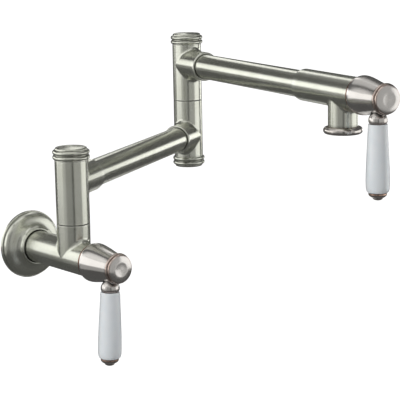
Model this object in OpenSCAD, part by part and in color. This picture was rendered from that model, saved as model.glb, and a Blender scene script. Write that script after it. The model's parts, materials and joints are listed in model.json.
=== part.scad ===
// Wall mounted pot filler with two swivel columns, two arms and two lever valves.
// Frame: origin at the centre of the inlet on the wall plane, +X to the right,
// +Y into the wall, +Z up. Millimetres.

/* [Arms and columns] */
// Outer diameter of both swivel columns
column_d = 30; // [27:0.5:36]
// Outer diameter of the arm tubes
arm_tube_d = 25.2; // [20:0.2:26]
// Wall of the arm tubes
arm_tube_wall = 1.5; // [1:0.1:2.5]
// Wall to the axis of the first column
wall_reach = 73.6; // [66:0.2:120]
// First column axis to the elbow axis
lower_arm_len = 283.9; // [200:0.1:350]
// Elbow axis to the spout axis
upper_arm_len = 294.8; // [290:0.1:400]
// Turn of the lower arm from +X, towards the wall
lower_arm_angle = 29.2; // [-170:0.1:60]
// Turn of the upper arm from +X
upper_arm_angle = -101.4; // [-170:0.1:60]

/* [Heights] */
// Valve axis to the seam of the first column
stub_h = 30.9; // [27:0.1:40]
// Valve axis to the lower arm axis
lower_arm_z = 68; // [64:0.5:90]
// Lower arm axis to the upper arm axis
arm_rise = 76; // [74:0.5:110]
// Lower arm axis to the foot of the elbow
elbow_below = 21.1; // [19:0.1:30]
// Lower arm axis to the seam of the elbow
elbow_seam_up = 37.9; // [32:0.1:44]
// Arm axis to the top of the column that carries it
column_above = 20.1; // [19:0.1:30]

/* [Arm sockets] */
// Outer diameter of the sockets that hold the arm tubes
socket_d = 29.6; // [28.4:0.1:30]
// Rounding of a socket's mouth
socket_round = 1.6; // [0.6:0.1:2]
// First column axis to the mouth of its socket
wall_socket_reach = 39; // [32:0.5:50]
// Elbow axis to the mouth of the lower socket
elbow_lower_reach = 35; // [32:0.5:50]
// Elbow axis to the mouth of the upper socket
elbow_upper_reach = 41; // [32:0.5:50]
// Spout axis to the mouth of the spout body's socket
spout_socket_reach = 64; // [58:0.5:80]
// Depth of the tube in the spout body's socket
spout_tube_depth = 19; // [12:0.5:24]
// Metal between a column's side and the tube's end
tube_stop = 5; // [3:0.5:8]

/* [Column caps] */
// Height of a cap above its column
cap_h = 12.2; // [11.8:0.1:16]
// How far the two beads stand proud of the column
cap_bead_proud = 1.7; // [1:0.1:2]
// Section radius of a bead
cap_bead_r = 2.1; // [1.7:0.05:2.3]
// Foot of the cap to the middle of the first bead
cap_bead_up = 2.8; // [2.6:0.1:3.2]
// Pitch of the two beads
cap_bead_pitch = 4.6; // [4.4:0.1:5]
// Depth of the spigot that screws the cap in
cap_spigot = 2.5; // [1.5:0.1:2.6]

/* [Wall flange] */
// Diameter of the wall flange
flange_d = 63; // [58:0.5:76]
// Depth of the wall flange
flange_depth = 16; // [14:0.5:22]
// Thickness of the flange's back rim
flange_rim = 3; // [2:0.1:4]
// Step of the second rim inside the first
flange_step = 1.3; // [0.8:0.1:2]
// Width of the lip round the inlet tube
flange_lip = 1.9; // [1.4:0.1:2.6]
// Gap between flange and inlet tube
flange_gap = 0.4; // [0.2:0.1:0.6]
// Section of the flange's rubber ring
flange_ring_d = 2.4; // [2:0.1:2.8]
// Wall of the flange, hollow behind
flange_wall = 2.4; // [1.6:0.1:3]

/* [Valves] */
// Outer diameter of the valve bodies
valve_d = 29.6; // [28.4:0.1:30]
// Branch axis to the front face of a valve body
valve_front = 28; // [26:0.5:32]
// Bore of the half inch inlet thread
inlet_d = 19.8; // [18:0.1:21]
// Depth of the inlet thread
inlet_depth = 16; // [12:0.5:20]
// Water passage in the valve bodies
passage_d = 13; // [10:0.5:14]
// Outer diameter of a cartridge
cartridge_d = 20.8; // [20:0.1:21]
// Branch axis back to the cartridge seat
seat_back = 13; // [12:0.5:15]
// Diameter of the ceramic discs
disc_d = 17.4; // [16:0.1:17.8]
// Thickness of a ceramic disc
disc_t = 3; // [2:0.1:3.2]
// Height of the cartridge's side windows
window_h = 6; // [5:0.5:7]
// Thickness of the cartridge's rim under the bonnet
cartridge_rim_t = 2; // [1:0.1:3]
// Thickness of the seat seal
seat_seal_t = 2; // [1.5:0.1:2.5]
// Diameter of the valve stem
stem_d = 8.6; // [7:0.1:9]
// Thread of the bonnet nut
bonnet_d = 24; // [23.2:0.1:24.6]
// Length of the bonnet thread in the body
bonnet_len = 10; // [8:0.5:11]
// Height of the bonnet's hexagon
bonnet_hex_h = 6; // [4:0.5:8]
// Thickness of the ring under the hub
hub_ring_t = 0.5; // [0.4:0.1:1]

/* [Lever hub] */
// Diameter of the hub where it meets the ring
hub_back_d = 31.4; // [30.4:0.1:33]
// Largest diameter of the bell
hub_bell_d = 34.8; // [33.6:0.1:38]
// Back of the hub to the largest diameter
hub_bell_at = 4.6; // [4:0.1:7]
// Smallest diameter, at the neck
hub_neck_d = 24.4; // [23.6:0.1:26]
// Back of the hub to the neck
hub_neck_at = 34.4; // [31:0.1:36]
// Diameter of the bead behind the end cap
hub_bead_d = 27.6; // [26.6:0.1:29]
// Thickness of the bead
hub_bead_t = 3.2; // [2.6:0.1:5]
// Diameter of the end cap
end_cap_d = 26.2; // [25:0.1:27]
// Thickness of the end cap
end_cap_t = 3.6; // [3:0.1:6]
// Depth of the cavity over the bonnet
hub_cavity = 12; // [10:0.5:15]
// Diameter of the recess under the end cap
cap_recess_d = 16; // [14:0.5:18]
// Depth of the recess under the end cap
cap_recess_depth = 6; // [5:0.1:7]
// Diameter of the hub screw
hub_screw_d = 5; // [4:0.5:6]
// Length of the hub screw in the stem
hub_screw_len = 8; // [6:0.5:10]

/* [Levers] */
// Branch axis to the lever, along the valve
lever_at = 54; // [50:0.5:56]
// Lean of the wall lever from straight down, towards -X
wall_lever_lean = 2.5; // [-5:0.5:5]
// Valve axis to the foot of the metal collar
collar_foot = 22; // [20:0.1:26]
// Largest diameter of the collar
collar_d = 16.8; // [14:0.1:17]
// Diameter of the collar where it leaves the hub
collar_top_d = 9; // [8:0.1:10]
// Length of the porcelain grip
grip_len = 59.6; // [45:0.1:80]
// Diameter at the top of the grip
grip_top_d = 17.3; // [17.1:0.1:19]
// Largest diameter of the grip
grip_max_d = 21; // [19:0.1:24]
// Diameter at the foot of the grip
grip_foot_d = 17; // [16.6:0.1:18]
// Height of the end nut
end_nut_h = 6.6; // [6:0.1:9]
// Diameter of the threaded rod
rod_d = 6; // [5:0.5:7]
// Thickness of the soft washers at both ends of the grip
grip_washer_t = 0.5; // [0.4:0.1:1]

/* [Spout] */
// Outer diameter of the spout tube
spout_d = 26.8; // [25:0.1:28]
// Arm axis to the mouth of the spout
spout_drop = 37.6; // [34:0.1:42]
// Outer diameter of the aerator collar
spout_ring_d = 35.4; // [33:0.1:38]
// Height of the aerator collar
spout_ring_h = 6.6; // [6:0.1:8]
// Bore of the spout tube
spout_bore_d = 17; // [14:0.5:18]
// Diameter of the aerator insert
aerator_d = 22.8; // [20:0.1:23]
// Height of the aerator insert
aerator_h = 7; // [6:0.1:8]
// Wall and lip of the aerator and its collar
aerator_wall = 1.2; // [0.8:0.1:1.4]
// Diameter of a hole in the aerator
aerator_hole_d = 1.8; // [1.2:0.1:2]
// Rings of holes round the middle hole
aerator_rings = 3; // [1:1:3]

/* [Swivels] */
// Diameter of the spindles
spindle_d = 19.9; // [18:0.1:20.4]
// Length of the plug in the elbow spindle's foot
plug_len = 6; // [4:0.5:8]
// Water bore of the spindles
spindle_bore_d = 12; // [8:0.5:12]
// Diameter of a spindle at its water ports
spindle_waist_d = 16.4; // [15:0.1:17]
// Height of a water chamber
chamber_h = 14; // [12:0.5:14]
// Diameter of a water chamber
chamber_d = 23; // [21:0.5:24]
// Depth of the spindle's thread in the wall valve
spindle_root = 14; // [10:0.5:15]
// Thread diameter at the top of a spindle
spindle_tip_d = 15.8; // [14:0.1:17]
// Depth of the pocket for a spindle nut
nut_pocket = 8.1; // [7.6:0.1:9]
// Diameter of the pocket for a spindle nut
pocket_d = 24.4; // [23.6:0.1:25]
// Height of a spindle nut
nut_h = 4; // [3:0.1:4.2]
// Thickness of the slide washers
washer_t = 0.6; // [0.4:0.1:1]
// Outer diameter of the slide washer in a seam
seam_washer_d = 28.6; // [26:0.1:29]
// Section of the spindle's rubber rings
o_ring_d = 2; // [1.6:0.1:2.4]

/* [Fits] */
// Radial clearance of a turning fit
run_clearance = 0.05; // [0.02:0.01:0.1]
// Radial clearance of a screwed or seated fit
seat_clearance = 0.05; // [0.02:0.01:0.1]
// Gap between faces that slide on each other
lap_gap = 0.02; // [0.01:0.01:0.05]
// Gap between pieces that turn past each other
part_gap = 0.3; // [0.2:0.05:0.5]

/* [Hidden] */
$fn = 72;
overrun = 1;

satin = [0.68, 0.68, 0.64];
polished = [0.76, 0.73, 0.69];
brass = [0.78, 0.64, 0.36];
rubber = [0.1, 0.1, 0.1];
slide_plastic = [0.9, 0.9, 0.86];
disc_ceramic = [0.85, 0.82, 0.76];
porcelain = [0.93, 0.94, 0.95];
copper = [0.72, 0.5, 0.38];

column_r = column_d / 2;
tube_r = arm_tube_d / 2;
socket_r = socket_d / 2;
valve_r = valve_d / 2;
spindle_r = spindle_d / 2;
swivel_bore_r = spindle_r + run_clearance;
fixed_bore_r = spindle_r + seat_clearance;
passage_r = passage_d / 2;
pocket_r = pocket_d / 2;
tube_seat_r = tube_r + seat_clearance;
tube_start = column_r + tube_stop;

upper_arm_z = lower_arm_z + arm_rise;
column_top_z = lower_arm_z + column_above;
elbow_foot_z = lower_arm_z - elbow_below;
elbow_top_z = upper_arm_z + column_above;
stub_top_z = stub_h - washer_t / 2;
column_foot_z = stub_top_z + washer_t + lap_gap;
lower_housing_top_z = lower_arm_z + elbow_seam_up - washer_t / 2;
upper_housing_foot_z = lower_housing_top_z + washer_t + lap_gap;
spindle_foot_z = stub_top_z - spindle_root;
wall_shoulder_z = column_top_z - nut_pocket;
elbow_shoulder_z = elbow_top_z - nut_pocket;
elbow_ledge_z = elbow_foot_z + nut_pocket;
elbow_head_z = elbow_foot_z + cap_spigot + part_gap;

elbow_pos = [lower_arm_len * cos(lower_arm_angle),
             lower_arm_len * sin(lower_arm_angle) - wall_reach, 0];
spout_pos = elbow_pos + [upper_arm_len * cos(upper_arm_angle),
                         upper_arm_len * sin(upper_arm_angle), upper_arm_z];

// Heights of the rubber rings, counted from the water chambers
chamber_half = chamber_h / 2;
ring_near = chamber_half + o_ring_d;
ring_far = ring_near + 4 * o_ring_d;
wall_ring_zs = [lower_arm_z - ring_far, lower_arm_z - ring_near, lower_arm_z + ring_near];
elbow_ring_zs = [lower_arm_z - ring_near, lower_arm_z + ring_near,
                 upper_arm_z - ring_far, upper_arm_z - ring_near, upper_arm_z + ring_near];
o_groove_r = spindle_r - o_ring_d + seat_clearance;

// Places along a valve, from its branch axis
cartridge_r = cartridge_d / 2;
cartridge_tail = seat_seal_t - seat_back;
cartridge_shoulder = valve_front - bonnet_len - cartridge_rim_t;
cartridge_groove = cartridge_shoulder - 2 * o_ring_d;
disc_r = disc_d / 2;
turning_disc_x = cartridge_tail + disc_t + lap_gap;
driver_x = turning_disc_x + disc_t;
disc_room_end = driver_x + window_h;
bonnet_r = bonnet_d / 2;
stem_r = stem_d / 2;
hub_back = valve_front + hub_ring_t + part_gap;
hub_len = hub_neck_at + hub_bead_t;
hub_front = hub_back + hub_len;
hub_seat_x = hub_front - cap_recess_depth;
hub_web_x = hub_seat_x - cartridge_rim_t;
stem_end = hub_web_x - lap_gap;
hub_screw_r = hub_screw_d / 2;
hub_room_r = bonnet_r + 2 * part_gap;
cap_recess_r = cap_recess_d / 2;

// Places down a lever, from the valve axis
rod_r = rod_d / 2;
rod_top = stem_r + rod_r / 2;
grip_top = collar_foot + grip_washer_t;
grip_bottom = grip_top + grip_len;
nut_top = grip_bottom + grip_washer_t;
lever_tip = nut_top + end_nut_h;
rod_end = nut_top + end_nut_h / 2;
grip_edge = grip_top_d / 20;
collar_wide_share = 0.78;
grip_wide_share = 0.84;
washer_share = 0.84;

// Places down the spout, from the arm axis
spout_end = spout_drop - spout_ring_h / 2;
aerator_foot = spout_drop - aerator_wall;
aerator_top = aerator_foot - aerator_h;
aerator_seat = aerator_top - aerator_wall;
aerator_r = aerator_d / 2;

function arc_pts(c, r, a0, a1, n) =
    [for (i = [0:n]) let (a = a0 + (a1 - a0) * i / n) c + r * [cos(a), sin(a)]];
// Points of a cubic curve after its first one
function curve_pts(p, n) =
    [for (i = [1:n]) let (t = i / n, u = 1 - t)
        u * u * u * p[0] + 3 * u * u * t * p[1] + 3 * u * t * t * p[2] + t * t * t * p[3]];
function downward(pts) = [for (p = pts) [p[0], -p[1]]];

// Places of the two valves: x runs out along the valve, the branch is on z
module at_wall_valve() translate([0, -wall_reach, 0]) rotate([0, 0, -90]) children();
module at_spout_valve() translate(spout_pos) rotate([0, 0, upper_arm_angle]) children();
module at_column() translate([0, -wall_reach, 0]) children();
module at_elbow() translate(elbow_pos) children();
module at_lever(lean) translate([lever_at, 0, 0]) rotate([lean, 0, 0]) children();
module along_x() rotate([0, 90, 0]) children();
module lower_branch(turn) translate([0, 0, lower_arm_z])
    rotate([0, 0, lower_arm_angle + turn]) children();
module upper_branch() translate([0, 0, upper_arm_z]) rotate([0, 0, upper_arm_angle]) children();

module turned(pts) rotate_extrude() polygon(pts);
module post(r, z0, z1) translate([0, 0, z0]) cylinder(h = z1 - z0, r = r);
module ring(r_out, r_in, z0, z1) difference() {
    post(r_out, z0, z1);
    post(r_in, z0 - overrun, z1 + overrun);
}
module o_ring(r_in, d, z) translate([0, 0, z])
    rotate_extrude() translate([r_in + d / 2, 0]) circle(r = d / 2);
module groove(r_in, z) ring(column_d, r_in, z - o_ring_d / 2 - seat_clearance,
                            z + o_ring_d / 2 + seat_clearance);

// A branch whose mouth is rounded, along +x from the axis
module socket_branch(reach) along_x() turned(concat(
    [[0, 0], [socket_r, 0]],
    arc_pts([socket_r - socket_round, reach - socket_round], socket_round, 0, 90, 6),
    [[0, reach]]));

// Tube seat and water passage of a socket, along +x
module socket_bore(reach) along_x() {
    post(passage_r, 0, tube_start + overrun);
    post(tube_seat_r, tube_start, reach + overrun);
}

// Wall flange: a stepped rim, a dished ogee and a rolled lip round the inlet tube
module wall_flange() color(satin) {
    r = flange_d / 2;
    r2 = r - flange_step;
    bore = valve_r + flange_gap;
    lip = flange_lip / 2;
    lip_z = flange_depth - lip;
    sleeve_r = bore + flange_ring_d + flange_gap;
    bulge = [r2 * 0.76, flange_depth * 0.6];
    rotate([90, 0, 0]) difference() {
        turned(concat(
            [[bore, 0], [r - flange_step / 2, 0], [r, flange_step / 2], [r, flange_rim],
             [r2, flange_rim + flange_step / 2]],
            curve_pts([[r2, flange_rim + flange_step / 2], [r2, flange_depth * 0.48],
                       [r2 * 0.88, flange_depth * 0.54], bulge], 8),
            curve_pts([bulge, [r2 * 0.66, flange_depth * 0.65],
                       [bore + flange_lip, flange_depth * 0.74],
                       [bore + flange_lip, lip_z]], 8),
            arc_pts([bore + lip, lip_z], lip, 20, 160, 6),
            [[bore, lip_z]]));
        turned([[sleeve_r, -overrun], [r2 - flange_wall, -overrun],
                [r2 - flange_wall, flange_rim], [r2 * 0.74, flange_depth * 0.6 - flange_wall],
                [sleeve_r, flange_depth * 0.66 - flange_wall]]);
        o_ring(valve_r + seat_clearance, flange_ring_d, flange_depth / 2);
    }
}

module flange_rubber_ring() color(rubber)
    rotate([90, 0, 0]) o_ring(valve_r + seat_clearance,
                              flange_ring_d - 2 * seat_clearance, flange_depth / 2);

// Bores that every valve body has for its cartridge and bonnet
module cartridge_bore() along_x() {
    post(cartridge_r + seat_clearance, -seat_back, valve_front + overrun);
    post(bonnet_r + seat_clearance, cartridge_shoulder, valve_front + overrun);
}

// Wall valve body: inlet tube through to the cartridge, with a stub for the spindle
module wall_valve_body() color(satin) at_wall_valve() difference() {
    union() {
        along_x() post(valve_r, -wall_reach, valve_front);
        post(column_r, 0, stub_top_z);
    }
    along_x() post(inlet_d / 2, -wall_reach - overrun, inlet_depth - wall_reach);
    along_x() post(passage_r, -wall_reach, overrun - seat_back);
    cartridge_bore();
    post(passage_r, 0, spindle_foot_z + overrun);
    post(fixed_bore_r, spindle_foot_z, stub_top_z + overrun);
}

// What water needs at one height of a spindle: a waist and four ports
module spindle_ports(z) {
    ring(spindle_d, spindle_waist_d / 2, z - chamber_half, z + chamber_half);
    for (a = [0, 90]) translate([0, 0, z]) rotate([0, 90, a])
        cylinder(h = 2 * spindle_d, r = chamber_half / 2, center = true);
}

module wall_spindle() color(brass) at_column() difference() {
    union() {
        post(spindle_r, spindle_foot_z, wall_shoulder_z - lap_gap);
        post(spindle_tip_d / 2, spindle_foot_z, wall_shoulder_z + lap_gap + washer_t + nut_h);
    }
    post(spindle_bore_d / 2, spindle_foot_z - overrun, lower_arm_z + chamber_half);
    spindle_ports(lower_arm_z);
    for (z = wall_ring_zs) groove(o_groove_r, z);
}

module spindle_o_rings(zs) color(rubber) for (z = zs)
    o_ring(o_groove_r + seat_clearance, o_ring_d - 2 * seat_clearance, z);
module wall_spindle_o_rings() at_column() spindle_o_rings(wall_ring_zs);

// The washer in a seam and the one under the spindle nut
module slide_washers(seam_z, shoulder_z) color(slide_plastic) {
    ring(seam_washer_d / 2, fixed_bore_r, seam_z, seam_z + washer_t);
    ring(pocket_r - part_gap, spindle_tip_d / 2 + seat_clearance,
         shoulder_z + lap_gap, shoulder_z + lap_gap + washer_t);
}
module wall_slide_washers() at_column() slide_washers(stub_top_z, wall_shoulder_z);

module spindle_nut(shoulder_z) color(brass) difference() {
    z0 = shoulder_z + lap_gap + washer_t;
    translate([0, 0, z0]) cylinder(h = nut_h, r = pocket_r - 2 * part_gap, $fn = 6);
    post(spindle_tip_d / 2 + seat_clearance, z0 - overrun, z0 + nut_h + overrun);
}
module wall_spindle_nut() at_column() spindle_nut(wall_shoulder_z);

// Cartridge sleeve along +x: room for the discs, two windows, groove and rim
module cartridge_body() color(brass) along_x() difference() {
    union() {
        post(cartridge_r, cartridge_tail, cartridge_shoulder);
        post(bonnet_r, cartridge_shoulder, cartridge_shoulder + cartridge_rim_t);
    }
    post(disc_r + run_clearance, cartridge_tail - overrun, disc_room_end);
    post(stem_r + run_clearance, disc_room_end - overrun, valve_front);
    for (a = [0, 90]) rotate([0, 0, a]) translate([-cartridge_d, -disc_r / 2, driver_x])
        cube([2 * cartridge_d, disc_r, window_h]);
    groove(cartridge_r - o_ring_d + seat_clearance, cartridge_groove);
}
module cartridge_o_ring() color(rubber) along_x()
    o_ring(cartridge_r - o_ring_d + 2 * seat_clearance, o_ring_d - 2 * seat_clearance,
           cartridge_groove);
module seat_seal() color(rubber) along_x() ring(cartridge_r, passage_r, -seat_back,
                                                cartridge_tail);

// A ceramic disc with two ports, turned about the valve
module valve_disc(x, turn) color(disc_ceramic) along_x() difference() {
    post(disc_r, x, x + disc_t);
    for (a = [0, 180]) rotate([0, 0, a + turn]) translate([disc_r / 2, 0, x - overrun])
        cylinder(h = disc_t + 2 * overrun, r = disc_r * 0.28);
}

// Stem: a driver bar on the turning disc, a round shaft, a thread for the hub screw
module valve_stem() color(brass) along_x() difference() {
    union() {
        intersection() {
            post(disc_r, driver_x, driver_x + disc_t);
            translate([-disc_d, -disc_r / 2, driver_x]) cube([2 * disc_d, disc_r, disc_t]);
        }
        post(stem_r, driver_x, stem_end);
    }
    post(hub_screw_r + seat_clearance, stem_end - hub_screw_len, stem_end + overrun);
}

module bonnet_nut() color(brass) along_x() difference() {
    x0 = cartridge_shoulder + cartridge_rim_t;
    union() {
        post(bonnet_r, x0, valve_front);
        translate([0, 0, valve_front]) cylinder(h = bonnet_hex_h, r = bonnet_r, $fn = 6);
    }
    post(stem_r + part_gap, x0 - overrun, valve_front + bonnet_hex_h + overrun);
}

module hub_ring() color(copper) along_x() ring(valve_r, bonnet_r + part_gap, valve_front,
                                               valve_front + hub_ring_t);

// Outline of the hub from its back, widened by a gap
function hub_outline(grow) = let (
    back_r = hub_back_d / 2 + grow,
    bell_r = hub_bell_d / 2 + grow,
    neck_r = hub_neck_d / 2 + grow,
    bead_c = [(hub_bead_d - hub_bead_t) / 2, hub_neck_at + hub_bead_t / 2],
    span = hub_neck_at - hub_bell_at
) concat(
    [[0, 0], [back_r, 0]],
    curve_pts([[back_r, 0], [bell_r, hub_bell_at * 0.2],
               [bell_r, hub_bell_at * 0.6], [bell_r, hub_bell_at]], 6),
    curve_pts([[bell_r, hub_bell_at], [bell_r, hub_bell_at + span * 0.18],
               [neck_r + (bell_r - neck_r) * 0.22, hub_bell_at + span * 0.68],
               [neck_r, hub_neck_at]], 12),
    arc_pts(bead_c, hub_bead_t / 2 + grow, -55, 55, 8),
    [[end_cap_d / 2 - part_gap, hub_len], [0, hub_len]]);
module hub_form(grow) translate([hub_back, 0, 0]) along_x() turned(hub_outline(grow));

// Bell shaped hub that turns on the valve and carries the lever
module lever_hub(lean) color(polished) difference() {
    hub_form(0);
    along_x() {
        post(hub_room_r, hub_back - overrun, hub_back + hub_cavity);
        post(stem_r + seat_clearance, hub_back, hub_web_x);
        post(hub_screw_r + part_gap, hub_back, hub_front);
        post(cap_recess_r, hub_seat_x, hub_front + overrun);
    }
    at_lever(lean) post(rod_r + seat_clearance, -hub_bell_d, -rod_top);
}

module hub_screw() color(brass) along_x() difference() {
    union() {
        post(hub_screw_r, stem_end - hub_screw_len + seat_clearance, hub_seat_x);
        post(hub_screw_d, hub_seat_x, hub_seat_x + hub_screw_r);
    }
    translate([0, 0, hub_seat_x + hub_screw_r / 2])
        cylinder(h = hub_screw_d, r = hub_screw_r, $fn = 6);
}

// Domed end cap with a shallow dish in its face
module end_cap() color(polished) {
    r = end_cap_d / 2;
    t = end_cap_t;
    shoulder_r = r - t / 4;
    spigot_r = cap_recess_r - seat_clearance;
    translate([hub_front, 0, 0]) along_x() turned(concat(
        [[0, -t / 4], [spigot_r, -t / 4], [spigot_r, 0], [shoulder_r, 0]],
        curve_pts([[shoulder_r, 0], [r, t / 8], [r, t / 2], [shoulder_r, t * 0.7]], 6),
        curve_pts([[shoulder_r, t * 0.7], [r * 0.75, t * 0.95], [r * 0.55, t],
                   [r * 0.5, t]], 6),
        curve_pts([[r * 0.5, t], [r * 0.4, t], [r * 0.35, t * 0.86], [0, t * 0.84]], 6)));
}

// Flared metal collar that screws onto the rod under the hub
module lever_collar(lean) color(polished) difference() {
    r = collar_d / 2;
    top_r = collar_top_d / 2;
    hole_r = rod_r + seat_clearance;
    top = hub_neck_d / 2 - top_r / 2;
    flare = collar_foot - top;
    wide = top + flare * collar_wide_share;
    at_lever(lean) turned(downward(concat(
        [[hole_r, top], [top_r, top]],
        curve_pts([[top_r, top], [top_r * 1.07, top + flare * 0.34],
                   [r, top + flare * 0.4], [r, wide]], 8),
        curve_pts([[r, wide], [r, wide + flare * 0.12],
                   [r * 0.92, collar_foot - flare * 0.06], [r * 0.86, collar_foot]], 5),
        [[hole_r, collar_foot]])));
    hub_form(seat_clearance);
}

// Porcelain grip: widens evenly, then rounds in to its foot
module lever_grip(lean) color(porcelain) at_lever(lean) {
    top_r = grip_top_d / 2;
    max_r = grip_max_d / 2;
    foot_r = grip_foot_d / 2;
    bore = rod_r + part_gap;
    wide = grip_top + grip_len * grip_wide_share;
    rest = grip_bottom - wide;
    swell = max_r - top_r;
    turned(downward(concat(
        [[bore, grip_top]],
        arc_pts([top_r - grip_edge, grip_top + grip_edge], grip_edge, -90, 0, 4),
        curve_pts([[top_r, grip_top + grip_edge], [top_r + swell * 0.35, grip_top + grip_len * 0.3],
                   [max_r, wide - grip_len * 0.2], [max_r, wide]], 10),
        curve_pts([[max_r, wide], [max_r, wide + rest * 0.55],
                   [foot_r + swell, grip_bottom - rest * 0.08], [foot_r, grip_bottom]], 8),
        [[bore, grip_bottom]])));
}

module lever_rod(lean) color(brass) at_lever(lean)
    post(rod_r, -rod_end, -rod_top - seat_clearance);

module grip_washers(lean) color(rubber) at_lever(lean) {
    washer_r = collar_d / 2 * washer_share;
    ring(washer_r, rod_r + seat_clearance, -grip_top, -collar_foot);
    ring(washer_r, rod_r + seat_clearance, -nut_top, -grip_bottom);
}

module end_nut(lean) color(polished) at_lever(lean) difference() {
    r = (grip_foot_d - grip_edge) / 2;
    neck_r = r * 0.56;
    h = end_nut_h;
    turned(downward(concat(
        [[0, nut_top], [r, nut_top]],
        curve_pts([[r, nut_top], [r * 1.03, nut_top + h * 0.3],
                   [r * 0.86, nut_top + h * 0.52], [neck_r, nut_top + h * 0.66]], 7),
        curve_pts([[neck_r, nut_top + h * 0.66], [neck_r, nut_top + h * 0.88],
                   [neck_r / 2, lever_tip], [0, lever_tip]], 7))));
    post(rod_r + seat_clearance, -rod_end - seat_clearance, overrun - nut_top);
}

// Cap of a column: two beads and a softly domed top, from z = 0 upwards
module column_cap() color(satin) {
    spigot_r = pocket_r - seat_clearance;
    bead_c = column_r + cap_bead_proud - cap_bead_r;
    bead_z = cap_bead_up + cap_bead_pitch;
    brow_r = column_r - cap_bead_proud / 2;
    brow_z = bead_z + cap_bead_r;
    crown_z = cap_h - cap_bead_r / 4;
    crown_r = column_r - 2 * cap_bead_proud;
    turned(concat(
        [[0, -cap_spigot], [spigot_r, -cap_spigot], [spigot_r, 0], [column_r, 0]],
        arc_pts([bead_c, cap_bead_up], cap_bead_r, -60, 75, 8),
        arc_pts([bead_c, bead_z], cap_bead_r, -75, 60, 8),
        [[brow_r, brow_z]],
        curve_pts([[brow_r, brow_z], [brow_r, crown_z - cap_bead_r / 4],
                   [crown_r + cap_bead_r / 2, crown_z], [crown_r, crown_z]], 6),
        [[0, cap_h]]));
}

// First column: turns on the wall spindle and holds the lower arm
module wall_column() color(satin) at_column() difference() {
    union() {
        post(column_r, column_foot_z, column_top_z);
        lower_branch(0) socket_branch(wall_socket_reach);
    }
    lower_branch(0) socket_bore(wall_socket_reach);
    post(swivel_bore_r, column_foot_z - overrun, column_top_z);
    post(chamber_d / 2, lower_arm_z - chamber_half, lower_arm_z + chamber_half);
    post(pocket_r, wall_shoulder_z, column_top_z + overrun);
}

module wall_column_cap() at_column() translate([0, 0, column_top_z]) column_cap();

module arm_tube(x0, x1) color(satin) along_x() ring(tube_r, tube_r - arm_tube_wall, x0, x1);
module lower_arm_tube() at_column() lower_branch(0)
    arm_tube(tube_start, lower_arm_len - tube_start);
module upper_arm_tube() at_elbow() upper_branch()
    arm_tube(tube_start, upper_arm_len - spout_socket_reach + spout_tube_depth);

// Lower half of the elbow: holds the lower arm and the elbow spindle
module elbow_lower_housing() color(satin) at_elbow() difference() {
    union() {
        post(column_r, elbow_foot_z, lower_housing_top_z);
        lower_branch(180) socket_branch(elbow_lower_reach);
    }
    lower_branch(180) socket_bore(elbow_lower_reach);
    post(fixed_bore_r, elbow_foot_z, lower_housing_top_z + overrun);
    post(chamber_d / 2, lower_arm_z - chamber_half, lower_arm_z + chamber_half);
    post(pocket_r, elbow_foot_z - overrun, elbow_ledge_z);
}

module elbow_bottom_cap() at_elbow()
    translate([0, 0, elbow_foot_z]) mirror([0, 0, 1]) column_cap();

// Elbow spindle: its head hangs under a ledge of the lower half, its nut holds the upper
module elbow_spindle() color(brass) at_elbow() difference() {
    union() {
        post(pocket_r - seat_clearance, elbow_head_z, elbow_ledge_z);
        post(spindle_r, elbow_head_z, elbow_shoulder_z - lap_gap);
        post(spindle_tip_d / 2, elbow_head_z, elbow_shoulder_z + lap_gap + washer_t + nut_h);
    }
    post(spindle_bore_d / 2, elbow_head_z - overrun, upper_arm_z + chamber_half);
    spindle_ports(lower_arm_z);
    spindle_ports(upper_arm_z);
    for (z = elbow_ring_zs) groove(o_groove_r, z);
}

module elbow_spindle_o_rings() at_elbow() spindle_o_rings(elbow_ring_zs);
module elbow_slide_washers() at_elbow() slide_washers(lower_housing_top_z, elbow_shoulder_z);
module elbow_spindle_nut() at_elbow() spindle_nut(elbow_shoulder_z);

// Screwed plug with a hexagon socket that closes the foot of the elbow spindle
module elbow_spindle_plug() color(brass) at_elbow() difference() {
    plug_r = spindle_bore_d / 2 - seat_clearance;
    post(plug_r, elbow_head_z, elbow_head_z + plug_len);
    translate([0, 0, elbow_head_z - overrun])
        cylinder(h = plug_len / 2 + overrun, r = plug_r / 2, $fn = 6);
}

// Upper half of the elbow: turns on the spindle and holds the upper arm
module elbow_upper_housing() color(satin) at_elbow() difference() {
    union() {
        post(column_r, upper_housing_foot_z, elbow_top_z);
        upper_branch() socket_branch(elbow_upper_reach);
    }
    upper_branch() socket_bore(elbow_upper_reach);
    post(swivel_bore_r, upper_housing_foot_z - overrun, elbow_top_z);
    post(chamber_d / 2, upper_arm_z - chamber_half, upper_arm_z + chamber_half);
    post(pocket_r, elbow_shoulder_z, elbow_top_z + overrun);
}

module elbow_top_cap() at_elbow() translate([0, 0, elbow_top_z]) column_cap();

// Spout body: arm socket at its back, cartridge in front, spout tube below
module spout_valve_body() color(satin) at_spout_valve() difference() {
    tube_stop_x = spout_tube_depth - spout_socket_reach;
    union() {
        along_x() post(valve_r, 0, valve_front);
        mirror([1, 0, 0]) socket_branch(spout_socket_reach);
        post(spout_d / 2, -spout_end, 0);
    }
    along_x() post(tube_seat_r, -spout_socket_reach - overrun, tube_stop_x);
    along_x() post(passage_r, tube_stop_x - overrun, overrun - seat_back);
    cartridge_bore();
    post(spout_bore_d / 2, -spout_end - overrun, 0);
    post(aerator_r + seat_clearance, -spout_end - overrun, -aerator_seat);
}

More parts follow.
